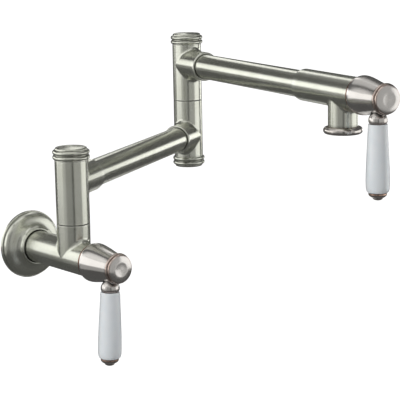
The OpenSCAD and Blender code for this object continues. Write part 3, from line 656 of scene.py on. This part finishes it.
class SpoutSizes(bpy.types.PropertyGroup):
    """Sizes of the spout's mouth."""
    drop: length("Drop", "Arm axis to the mouth", 37.6)
    ring_r: length("Collar radius", "Outer radius of the rolled collar", 17.7)
    ring_h: length("Collar height", "Height of the rolled collar", 6.6)
    insert_r: length("Insert radius", "Radius of the aerator insert", 11.4)
    wall: length("Lip", "Lip of the collar under the insert", 1.2)


class FinishSettings(bpy.types.PropertyGroup):
    """Colours and polish of the finishes."""
    satin_colour: swatch("Satin nickel", "Brushed nickel of the bodies", (0.74, 0.75, 0.68))
    bright_colour: swatch("Bright nickel", "Polished nickel of the hubs", (0.775, 0.75, 0.735))
    warm_tint: swatch("Warm tint", "Cloudy tint in the plating", (0.69, 0.70, 0.62))
    porcelain_colour: swatch("Porcelain", "Body colour of the grips", (0.80, 0.83, 0.85))
    satin_roughness: factor("Satin roughness", "Roughness of the brushed nickel", 0.26)
    bright_roughness: factor("Bright roughness", "Roughness of the polished nickel", 0.2)


class StudioSettings(bpy.types.PropertyGroup):
    """Camera, lamps and floor."""
    camera_at: bpy.props.FloatVectorProperty(name="Camera", description="Place of the camera",
                                             default=(-0.765638, -1.178392, 0.313713), unit="LENGTH")
    yaw: angle("Yaw", "Turn of the view from +Y towards +X", 39.577)
    pitch: angle("Pitch", "Tilt of the view below the horizon", 11.157)
    roll: angle("Roll", "Roll of the camera", -1.072)
    lens: bpy.props.FloatProperty(name="Lens", description="Focal length in millimetres", default=137.52,
                                  unit="CAMERA")
    floor_z: length("Floor", "Height of the floor", -1250.0)
    tent_radius: length("Tent", "Radius of the tent of cards", 1200.0)
    tent: factor("Tent grey", "Brightness of the tent in reflections", 0.1)
    key: power("Key", "Power of the key lamp in watts", 20.0)
    fill: power("Fill", "Power of the fill lamp in watts", 12.0)
    world: factor("World", "Strength of the even light", 0.3)


def settings(name):
    """A property group of the scene."""
    return getattr(bpy.context.scene, "pot_filler_" + name)


def mm(group, name):
    """A size of a property group, in millimetres."""
    return getattr(group, name) / MM


def all_mm(group, names):
    """Sizes of a property group, in millimetres, from their names with spaces between."""
    return [mm(group, name) for name in names.split()]


# Outlines of this object's pieces

def flange_outline(s, bore, r, depth):
    """Back rim, two small steps, an ogee and a rolled lip, closed through the hollow behind."""
    step, rim, wall, lip = mm(s, "step"), mm(s, "rim"), mm(s, "wall"), mm(s, "lip") / 2
    r2, sleeve, land = r - step, bore + 2.8, 0.6
    hollow, roll = r2 - wall, bore + 2 * lip
    bulge = (r2 * 0.76, depth * 0.6)
    foot = (r2, rim + step / 2)
    outer = rounded([(sleeve, 0, 0), (r, 0, land), (r, rim, 0.7), (r2 - 0.4, rim, CRISP), foot + (0,)])
    inner = rounded([(bore, depth - lip, 0), (bore, 0, CRISP), (sleeve, 0, CRISP),
                     (sleeve, depth * 0.66 - wall, 0.8), (r2 * 0.74, depth * 0.6 - wall, 3.0),
                     (hollow, rim, land), (hollow, 0, CRISP), (hollow + land, 0, 0)])
    return np.vstack([
        outer[outer[:, 0] > hollow + land],
        curve(foot, (r2, depth * 0.48), (r2 * 0.88, depth * 0.54), bulge),
        curve(bulge, (r2 * 0.66, depth * 0.65), (roll, depth * 0.74), (roll, depth - lip)),
        arc((bore + lip, depth - lip), lip, 0, 180),
        inner,
    ])


def seam_end(r, at, edge):
    """The end of a tube: a small rounding, then flat to its middle, from the outer edge inwards."""
    return rounded([(r, at - BAND * edge * np.sign(at), 0), (r, at, edge), (0, at, 0)])


def socket_mouth(s, reach):
    """Rows of a socket from the floor of its shadow gap, over the rounded lip, to its outside."""
    lip, r, tube = all_mm(s, "lip socket_r tube_r")
    bore, floor = tube + mm(s, "socket_gap"), reach - mm(s, "socket_depth")
    return rounded([(0, floor, 0), (bore, floor, FINE), (bore, reach, 0.4), (r, reach, lip),
                    (r, reach - 2 * lip, 0)])


def cap_outline(s, column_r):
    """Two beads over a rounded brow and a softly domed top, from the foot's middle to the crown."""
    proud, bead, up = all_mm(s, "proud bead_r bead_up")
    second = up + mm(s, "pitch")
    top, centre = mm(s, "height"), column_r + proud - bead
    brow, crown, shoulder = column_r - proud * 0.3, column_r - proud * 1.4, top - bead / 4
    foot = rounded([(0, 0, 0), (column_r, 0, 0.2), (column_r, up - bead * 0.87, 0)])
    return np.vstack([
        foot,
        arc((centre, up), bead, -60, 68, 18),
        arc((centre, second), bead, -68, 60, 18),
        curve((brow, second + bead), (brow, shoulder - bead / 4), (crown + bead / 2, shoulder),
              (crown, shoulder)),
        curve((crown, shoulder), (crown * 0.7, shoulder + bead * 0.15), (crown * 0.3, top), (0, top), 12),
    ])


def hub_outline(s):
    """A bell with a rounded back, drawn in to a neck and out to a bead, counted from its back."""
    back, bell, neck = all_mm(s, "back_r bell_r neck_r")
    bell_at, neck_at, bead_t = all_mm(s, "bell_at neck_at bead_t")
    span = neck_at - bell_at
    bead = np.array([mm(s, "bead_r") - bead_t / 2, neck_at + bead_t / 2])
    end = neck_at + bead_t
    return np.vstack([
        rounded([(0, 0, 0), (back, 0, CRISP), (back + FINE, 0.5, 0)]),
        curve((back + FINE, 0.5), (bell, bell_at * 0.3), (bell, bell_at * 0.6), (bell, bell_at), 16),
        curve((bell, bell_at), (bell, bell_at + span * 0.18),
              (neck + (bell - neck) * 0.22, bell_at + span * 0.68), (neck, neck_at), 44),
        arc(bead, bead_t / 2, -55, 62, 16),
        rounded([(mm(s, "cap_r") - 0.9, end, 0), (0, end, 0)]),
    ])


def end_cap_outline(s):
    """A button with a rounded rim, a flat land and a shallow dish, counted from its back."""
    r, t, dish = all_mm(s, "cap_r cap_t dish")
    rim = r - t / 4
    return np.vstack([
        rounded([(0, 0, 0), (rim, 0, 0)]),
        curve((rim, 0), (r, t / 8), (r, t / 2), (rim, t * 0.7), 16),
        curve((rim, t * 0.7), (r * 0.75, t * 0.95), (r * 0.55, t), (r * 0.5, t), 16),
        curve((r * 0.5, t), (r * 0.4, t), (r * 0.35, t - dish), (0, t - dish), 16),
    ])


def collar_outline(s, hub_neck):
    """A stem that flares to a rounded skirt, counted down from the valve axis."""
    r, top_r, foot, rod = all_mm(s, "collar_r collar_top_r collar_foot rod_r")
    top = hub_neck - top_r / 2
    flare = foot - top
    wide = top + flare * 0.78
    return np.vstack([
        rounded([(rod, foot, 0), (rod, top - 1, 0), (top_r, top - 1, 0), (top_r, top, 0)]),
        curve((top_r, top), (top_r * 1.07, top + flare * 0.34), (r, top + flare * 0.4), (r, wide), 26),
        curve((r, wide), (r, wide + flare * 0.12), (r * 0.95, foot - flare * 0.04), (r * 0.86, foot), 14),
        rounded([(r * 0.86, foot, 0), (rod, foot, 0)]),
    ])


def grip_outline(s):
    """A long taper that swells, then rounds in to its foot, counted down from the valve axis."""
    top_r, max_r, foot_r = all_mm(s, "grip_top_r grip_max_r grip_foot_r")
    top = mm(s, "collar_foot") + mm(s, "washer")
    span, bore, edge = mm(s, "grip_len"), mm(s, "rod_r") + 0.3, top_r / 10
    foot, wide, swell = top + span, top + span * 0.84, max_r - top_r
    rest = foot - wide
    return np.vstack([
        rounded([(bore, foot, 0), (bore, top, 0), (top_r, top, edge), (top_r, top + edge, 0)]),
        curve((top_r, top + edge), (top_r + swell * 0.35, top + span * 0.3), (max_r, wide - span * 0.2),
              (max_r, wide), 40),
        curve((max_r, wide), (max_r, wide + rest * 0.55), (foot_r + swell, foot - rest * 0.08),
              (foot_r, foot), 24),
        rounded([(foot_r, foot, 0), (bore, foot, 0)]),
    ])


def nut_outline(s):
    """A domed nut with a small button end, counted down from the valve axis."""
    top = mm(s, "collar_foot") + 2 * mm(s, "washer") + mm(s, "grip_len")
    r, h = mm(s, "grip_foot_r") * 0.95, mm(s, "nut_h")
    neck = r * 0.56
    return np.vstack([
        rounded([(0, top, 0), (r, top, 0.25), (r, top + 0.5, 0)]),
        curve((r, top + 0.5), (r * 1.03, top + h * 0.3), (r * 0.86, top + h * 0.52),
              (neck, top + h * 0.66), 16),
        curve((neck, top + h * 0.66), (neck, top + h * 0.88), (neck / 2, top + h), (0, top + h), 16),
    ])


def spout_ring_outline(s, tube_r):
    """A fat roll round the spout tube with a thin lip under the aerator, closed."""
    r, h, drop = all_mm(s, "ring_r ring_h drop")
    lip = mm(s, "wall")
    inner, end = mm(s, "insert_r") - lip, drop - h / 2
    seat = inner + lip + HAIR
    return np.vstack([
        rounded([(tube_r, end, 0), (tube_r, drop - h, 0.2), (r - h / 2, drop - h, 0)]),
        arc((r - h / 2, end), h / 2, -90, 90, 28),
        rounded([(r - h / 2, drop, 0), (inner, drop, 0.4), (inner, drop - lip, 0.2),
                 (seat, drop - lip, 0), (seat, end, 0), (tube_r, end, 0)]),
    ])


# Operators, one for each piece or group of like pieces

class POTFILLER_OT_flange(bpy.types.Operator):
    """Wall flange: a stepped rim, a dished ogee and a rolled lip round the inlet tube"""
    bl_idname = "pot_filler.flange"
    bl_label = "Wall Flange"

    def execute(self, context):
        s, b = settings("flange"), settings("body")
        low, high = box_mm("wall_flange")
        bore = mm(b, "valve_r") + mm(s, "gap")
        outline = flange_outline(s, bore, (high[0] - low[0]) / 2, high[1] - low[1])
        add_piece("flange", "wall_base", "satin_nickel", facing((0, 0, 0), WALL_OUT),
                  [lathe(outline, closed=True, segments=FLANGE_SEGMENTS)], "wall_flange")
        return {"FINISHED"}


class POTFILLER_OT_wall_body(bpy.types.Operator):
    """Wall valve body: the inlet tube with its thread, and the stub that carries the first column"""
    bl_idname = "pot_filler.wall_body"
    bl_label = "Wall Valve Body"

    def execute(self, context):
        s = settings("body")
        r, edge, front, column = all_mm(s, "valve_r edge front column_r")
        thread_r, depth, passage = all_mm(s, "inlet_r inlet_depth passage_r")
        top, low, chamfer = box_mm("wall_valve_body")[1][2], -WALL_REACH, 0.8
        start, floor, end = low + chamfer, low + depth, low + 2 * depth
        mouth = rounded([(0, top, 0), (column, top, edge), (column, top - BAND * edge, 0)])
        inlet = rounded([(r, low + BAND * edge, 0), (r, low, edge), (thread_r + chamfer, low, FINE),
                         (thread_r, start, 0)])
        wall = np.stack([np.full(THREAD_ROWS, thread_r), np.linspace(start, floor, THREAD_ROWS)], -1)
        deep = rounded([(thread_r, floor, 0), (passage, floor, CRISP), (passage, end, CRISP), (0, end, 0)])
        grids = tee(r, low + BAND * edge, front - BAND * edge, min(column, r - 0.01), mouth,
                    mm(s, "fillet"), np.vstack([inlet, wall, deep]), seam_end(r, front, edge))
        rim = grids[1].points
        cut = thread(rim, start, depth - chamfer, mm(s, "thread_pitch"), mm(s, "thread_depth"))
        threaded = (np.abs(np.hypot(cut[..., 0], cut[..., 1]) - thread_r) < 1)[..., None]
        grids[1] = grids[1]._replace(points=np.where(threaded, cut, rim))
        add_piece("valve_body", "wall_base", "satin_nickel", facing(WALL_AXIS, WALL_OUT), grids,
                  "wall_valve_body")
        return {"FINISHED"}


class POTFILLER_OT_columns(bpy.types.Operator):
    """First column and both halves of the elbow, each with the socket that holds an arm"""
    bl_idname = "pot_filler.columns"
    bl_label = "Columns"

    def execute(self, context):
        s = settings("body")
        r, edge = all_mm(s, "column_r edge")
        columns = (
            ("column", "wall_column", "lower_arm", WALL_AXIS, LOWER_ALONG, LOWER_Z, "wall"),
            ("elbow_lower", "elbow_lower_housing", "lower_arm", ELBOW, -LOWER_ALONG, LOWER_Z, "lower"),
            ("elbow_upper", "elbow_upper_housing", "upper_arm", ELBOW, UPPER_ALONG, UPPER_Z, "upper"),
        )
        for name, node, body, axis, along, z, socket in columns:
            low, high = (corner[2] - z for corner in box_mm(node))
            grids = tee(r, low + BAND * edge, high - BAND * edge, mm(s, "socket_r"),
                        socket_mouth(s, mm(s, f"{socket}_socket")), mm(s, "fillet"),
                        seam_end(r, low, edge), seam_end(r, high, edge))
            add_piece(name, body, "satin_nickel", upright(at_height(axis, z), along), grids, node)
        return {"FINISHED"}


class POTFILLER_OT_caps(bpy.types.Operator):
    """Beaded caps on the two columns and under the elbow"""
    bl_idname = "pot_filler.caps"
    bl_label = "Column Caps"

    def execute(self, context):
        outline = cap_outline(settings("cap"), mm(settings("body"), "column_r"))
        caps = (
            ("column_cap", "wall_column_cap", "lower_arm", WALL_AXIS, "wall_column", 1),
            ("elbow_foot_cap", "elbow_bottom_cap", "lower_arm", ELBOW, "elbow_lower_housing", -1),
            ("elbow_crown_cap", "elbow_top_cap", "upper_arm", ELBOW, "elbow_upper_housing", 1),
        )
        for name, node, body, axis, under, way in caps:
            z = box_mm(under)[way > 0][2]
            add_piece(name, body, "satin_nickel", upright(at_height(axis, z)),
                      [lathe(outline * [1, way])], node)
        return {"FINISHED"}


class POTFILLER_OT_arms(bpy.types.Operator):
    """Both arm tubes, from the floor of one socket to the other"""
    bl_idname = "pot_filler.arms"
    bl_label = "Arm Tubes"

    def execute(self, context):
        s = settings("body")
        r, inset = all_mm(s, "tube_r socket_depth")
        arms = (
            ("lower", WALL_AXIS, LOWER_ALONG, LOWER_Z, "wall_socket", LOWER_LEN, "lower_socket"),
            ("upper", ELBOW, UPPER_ALONG, UPPER_Z, "upper_socket", UPPER_LEN, "spout_socket"),
        )
        for arm, axis, along, z, first, span, second in arms:
            start, stop = mm(s, first) - inset, span - mm(s, second) + inset
            wall = np.stack([np.full(TUBE_ROWS, r), start + (stop - start) * spread(TUBE_ROWS - 1)], -1)
            outline = np.vstack([[(0, start)], wall, [(0, stop)]])
            add_piece(f"arm_{arm}", f"{arm}_arm", "satin_nickel", facing(at_height(axis, z), along),
                      [lathe(outline)], f"{arm}_arm_tube")
        return {"FINISHED"}


class POTFILLER_OT_spout_body(bpy.types.Operator):
    """Spout body: the arm's socket behind, the valve seat in front and the spout tube below"""
    bl_idname = "pot_filler.spout_body"
    bl_label = "Spout Body"

    def execute(self, context):
        s, spout = settings("body"), settings("spout")
        r, edge, front, tube_r, reach = all_mm(s, "valve_r edge front spout_r spout_socket")
        foot, room = mm(spout, "drop") - mm(spout, "ring_h") / 2, mm(spout, "insert_r") + HAIR
        floor = foot - 3
        mouth = rounded([(0, floor, 0), (room, floor, FINE), (room, foot, FINE),
                         (tube_r, foot, FINE), (tube_r, foot - 1, 0)])
        back = mirrored(socket_mouth(s, reach))[::-1]
        place = facing(SPOUT_AXIS, SPOUT_OUT)
        hanging = Place(place.origin, place.axes * np.array([[-1], [-1], [1]]))
        grids = tee(r, -reach + 2 * mm(s, "lip"), front - BAND * edge, tube_r, mouth, mm(s, "fillet"),
                    back, seam_end(r, front, edge))
        add_piece("spout_body", "upper_arm", "satin_nickel", hanging, grids, "spout_valve_body")
        return {"FINISHED"}


class POTFILLER_OT_spout_collar(bpy.types.Operator):
    """Rolled collar that holds the aerator at the spout's mouth"""
    bl_idname = "pot_filler.spout_collar"
    bl_label = "Spout Collar"

    def execute(self, context):
        tube_r = mm(settings("body"), "spout_r")
        outline = mirrored(spout_ring_outline(settings("spout"), tube_r))
        add_piece("spout_collar", "upper_arm", "polished_nickel", upright(SPOUT_AXIS),
                  [lathe(outline, closed=True)], "aerator_collar")
        return {"FINISHED"}


class POTFILLER_OT_hubs(bpy.types.Operator):
    """Bell shaped hubs, the coppery rings in their seams and the dished end caps"""
    bl_idname = "pot_filler.hubs"
    bl_label = "Lever Hubs"

    def execute(self, context):
        s, b = settings("hub"), settings("body")
        front = mm(b, "front")
        face = front + np.ptp([corner[1] for corner in box_mm("wall_hub_ring")])
        back = -WALL_REACH - box_mm("wall_lever_hub")[1][1]
        end = back + mm(s, "neck_at") + mm(s, "bead_t")
        seat, outer, lap, edge = mm(b, "valve_r") + 0.02, mm(s, "ring_r"), front - mm(s, "ring_lap"), 0.12
        inner = seat - 2
        ring = rounded([(inner, front, HAIR), (seat, front, HAIR), (seat, lap, HAIR), (outer, lap, edge),
                        (outer, face, edge), (inner, face, HAIR)], closed=True)
        for valve, place in VALVES:
            carrier, lever = {"wall": "wall_base", "spout": "upper_arm"}[valve], f"{valve}_lever"
            parts = (
                ("seam_ring", "hub_ring", carrier, "seam_copper", lathe(ring, closed=True)),
                ("hub", "lever_hub", lever, "polished_nickel", lathe(hub_outline(s) + [0, back])),
                ("button", "end_cap", lever, "polished_nickel", lathe(end_cap_outline(s) + [0, end])),
            )
            for label, node, body, slot, grid in parts:
                add_piece(f"{valve}_{label}", body, slot, place, [grid], f"{valve}_{node}")
        return {"FINISHED"}


class POTFILLER_OT_levers(bpy.types.Operator):
    """Levers: flared collar, porcelain grip and domed end nut, hung on each hub"""
    bl_idname = "pot_filler.levers"
    bl_label = "Levers"

    def execute(self, context):
        s = settings("lever")
        neck = mm(settings("hub"), "neck_r")
        parts = (
            ("collar", "lever_collar", "polished_nickel", collar_outline(s, neck)),
            ("grip", "lever_grip", "porcelain", grip_outline(s)),
            ("nut", "end_nut", "polished_nickel", nut_outline(s)),
        )
        for valve, place in VALVES:
            lean = s.lean if valve == "wall" else 0.0
            out = place.axes[2]
            up = np.array(Matrix.Rotation(-lean, 3, out.tolist())) @ UP
            side = np.cross(up, out)
            hung = Place(place.origin + LEVER_AT * out, np.stack([side, np.cross(up, side), up]))
            for label, node, slot, outline in parts:
                add_piece(f"{valve}_{label}", f"{valve}_lever", slot, hung, [lathe(mirrored(outline))],
                          f"{valve}_{node}")
        return {"FINISHED"}


class POTFILLER_OT_inner_pieces(bpy.types.Operator):
    """Finishes for the pieces inside, whose CAD meshes stay as they are"""
    bl_idname = "pot_filler.inner_pieces"
    bl_label = "Inner Pieces"

    def execute(self, context):
        slots = {p["node"]: p["material_slot"] for p in frame["record"]["subparts"]}
        for name, node in frame["nodes"].items():
            look = finish(LOOKS[slots[name]])
            if node.material_slots:
                for slot in node.material_slots:
                    slot.material = look
            else:
                node.data.materials.append(look)
        return {"FINISHED"}


class POTFILLER_OT_stage(bpy.types.Operator):
    """Floor, cards, lamps, world and the camera"""
    bl_idname = "pot_filler.stage"
    bl_label = "Studio"

    def execute(self, context):
        scene, s = context.scene, settings("studio")
        scene.view_settings.view_transform = "Standard"
        add_floor(s)
        add_cards(s)
        add_lamp("key", KEY_AT, s.key)
        add_lamp("fill", FILL_AT, s.fill)
        add_world(scene, s)
        add_camera(scene, s)
        return {"FINISHED"}


def shown_to_eye(node):
    """1 for camera, mirror and glass rays, and 0 for the others."""
    ray = node("LightPath").outputs
    seen = node("Math", {0: ray["Is Camera Ray"], 1: ray["Is Glossy Ray"]}, operation="MAXIMUM").outputs[0]
    return node("Math", {0: seen, 1: ray["Is Transmission Ray"]}, operation="MAXIMUM").outputs[0]


def add_floor(s):
    """A pale floor that camera, mirror and glass rays see as near white where it is lit."""
    material, node = new_material("studio_floor")
    mottle = noise(node, node("TexCoord").outputs["Object"], PATTERNS["floor"], 2.0)
    glow = node("Math", {0: shown_to_eye(node), 1: FLOOR_GLOW}, operation="MULTIPLY").outputs[0]
    shader = node("BsdfPrincipled", {
        "Base Color": ramp(node, mottle, (0.3, grey(0.93)), (0.7, grey(0.96))),
        "Roughness": 0.9,
        "Emission Color": (1, 1, 1, 1),
        "Emission Strength": glow,
    }).outputs[0]
    below = node("NewGeometry").outputs["Backfacing"]
    clear = node("BsdfTransparent").outputs[0]
    node("OutputMaterial", {0: node("MixShader", {0: below, 1: shader, 2: clear}).outputs[0]})
    h, z = FLOOR_HALF, s.floor_z
    corners = np.array([(-h, -h, z), (h, -h, z), (h, h, z), (-h, h, z)])
    card = linked("floor", new_mesh("floor", corners, np.arange(4)[None], material))


def add_card(name, bearing, elevation, width, height, value, radius):
    """A curved card round the set: the points of a sphere within some degrees of bearing and elevation.

    Bearings are counted from the camera towards the left of the picture. Only reflections see it, in
    one brightness that is a little warm.
    """
    material, node = new_material(name)
    glow = node("Emission", {"Color": (value, value, value * 0.97, 1), "Strength": 1.0})
    node("OutputMaterial", {0: glow.outputs[0]})
    turn = STUDIO_FRONT + np.radians(bearing + width * np.linspace(-0.5, 0.5, CARD_COLUMNS))
    lift = np.radians(elevation + height * np.linspace(-0.5, 0.5, CARD_ROWS))[:, None]
    out = np.cos(lift)
    points = np.stack([np.sin(turn) * out, np.cos(turn) * out, np.sin(lift) + 0 * turn], -1)
    points = STUDIO_CENTRE + radius * points
    holder = linked(name, new_mesh(name, points.reshape(-1, 3), faces_of(points, False), material))
    holder.visible_camera = holder.visible_diffuse = False
    holder.visible_shadow = holder.visible_transmission = False


def add_cards(s):
    """A grey tent of cards round the set, with brighter cards inside it as softboxes."""
    add_card("tent", 0, 0, 360, 180, s.tent, s.tent_radius)
    for n, (name, bearing, elevation, width, height, value) in enumerate(SOFTBOXES):
        radius = s.tent_radius * (FIRST_CARD - CARD_STEP * n)
        add_card(name, bearing, elevation, width, height, value, radius)


def aim(thing, at, right, back):
    """Puts a lamp or camera at a place, with its own X to the right and its view against back."""
    axes = Matrix(np.stack([right, np.cross(back, right), back], 1).tolist()).to_4x4()
    thing.matrix_world = Matrix.Translation(at) @ axes


def add_lamp(name, at, watts):
    """A square soft lamp aimed at the middle of the set."""
    lamp = bpy.data.lights.new(name, "AREA")
    lamp.energy, lamp.size = watts, LAMP_SIZE
    holder = linked(name, lamp)
    back = unit(np.array(at, float) - STUDIO_CENTRE)
    aim(holder, at, unit(np.cross(UP, back)), back)
    holder.visible_glossy = False


def add_world(scene, s):
    """Even light, seen as white by camera, mirror and glass rays."""
    scene.world = bpy.data.worlds.new("studio")
    scene.world.use_nodes = True
    scene.world.node_tree.nodes.clear()
    node = node_maker(scene.world.node_tree)
    strength = remap(node, shown_to_eye(node), s.world, 1.0, 0.0, 1.0)
    back = node("Background", {"Strength": strength, "Color": (1, 1, 1, 1)})
    node("OutputWorld", {0: back.outputs[0]})


def add_camera(scene, s):
    """The photograph's camera: forward from yaw and pitch, then rolled about it."""
    cy, sy, cp, sp = np.cos(s.yaw), np.sin(s.yaw), np.cos(s.pitch), np.sin(s.pitch)
    back = -np.array([sy * cp, cy * cp, -sp])
    right = np.array([cy, -sy, 0.0])
    right = right * np.cos(s.roll) + np.cross(back, right) * np.sin(s.roll)
    data = bpy.data.cameras.new("camera")
    data.lens, data.sensor_width = s.lens, SENSOR
    data.clip_start, data.clip_end = 0.01, 50.0
    scene.camera = linked("camera", data)
    aim(scene.camera, s.camera_at, right, back)


class POTFILLER_PT_panel(bpy.types.Panel):
    """Sidebar panel that lists the pieces and their sizes"""
    bl_label = "Pot Filler"
    bl_idname = "POTFILLER_PT_panel"
    bl_space_type = "VIEW_3D"
    bl_region_type = "UI"
    bl_category = "Pot Filler"

    def draw(self, context):
        for name in GROUPS:
            group = getattr(context.scene, name)
            box = self.layout.box()
            for key in group.__annotations__:
                box.prop(group, key)
        for step in STEPS:
            self.layout.operator(step.bl_idname)


GROUPS = {
    "pot_filler_flange": FlangeSizes,
    "pot_filler_body": BodySizes,
    "pot_filler_cap": CapSizes,
    "pot_filler_hub": HubSizes,
    "pot_filler_lever": LeverSizes,
    "pot_filler_spout": SpoutSizes,
    "pot_filler_finish": FinishSettings,
    "pot_filler_studio": StudioSettings,
}
STEPS = (
    POTFILLER_OT_inner_pieces,
    POTFILLER_OT_flange,
    POTFILLER_OT_wall_body,
    POTFILLER_OT_columns,
    POTFILLER_OT_caps,
    POTFILLER_OT_arms,
    POTFILLER_OT_spout_body,
    POTFILLER_OT_spout_collar,
    POTFILLER_OT_hubs,
    POTFILLER_OT_levers,
    POTFILLER_OT_stage,
)


def register():
    """Registers the groups, operators and panel."""
    for name, group in GROUPS.items():
        bpy.utils.register_class(group)
        setattr(bpy.types.Scene, name, bpy.props.PointerProperty(type=group))
    for step in STEPS:
        bpy.utils.register_class(step)
    bpy.utils.register_class(POTFILLER_PT_panel)


def unregister():
    """Takes them away again."""
    bpy.utils.unregister_class(POTFILLER_PT_panel)
    for step in reversed(STEPS):
        bpy.utils.unregister_class(step)
    for name, group in GROUPS.items():
        delattr(bpy.types.Scene, name)
        bpy.utils.unregister_class(group)


def main():
    """Builds every piece and the studio."""
    register()
    for step in STEPS:
        family, name = step.bl_idname.split(".")
        getattr(getattr(bpy.ops, family), name)()


if __name__ == "__main__":
    main()
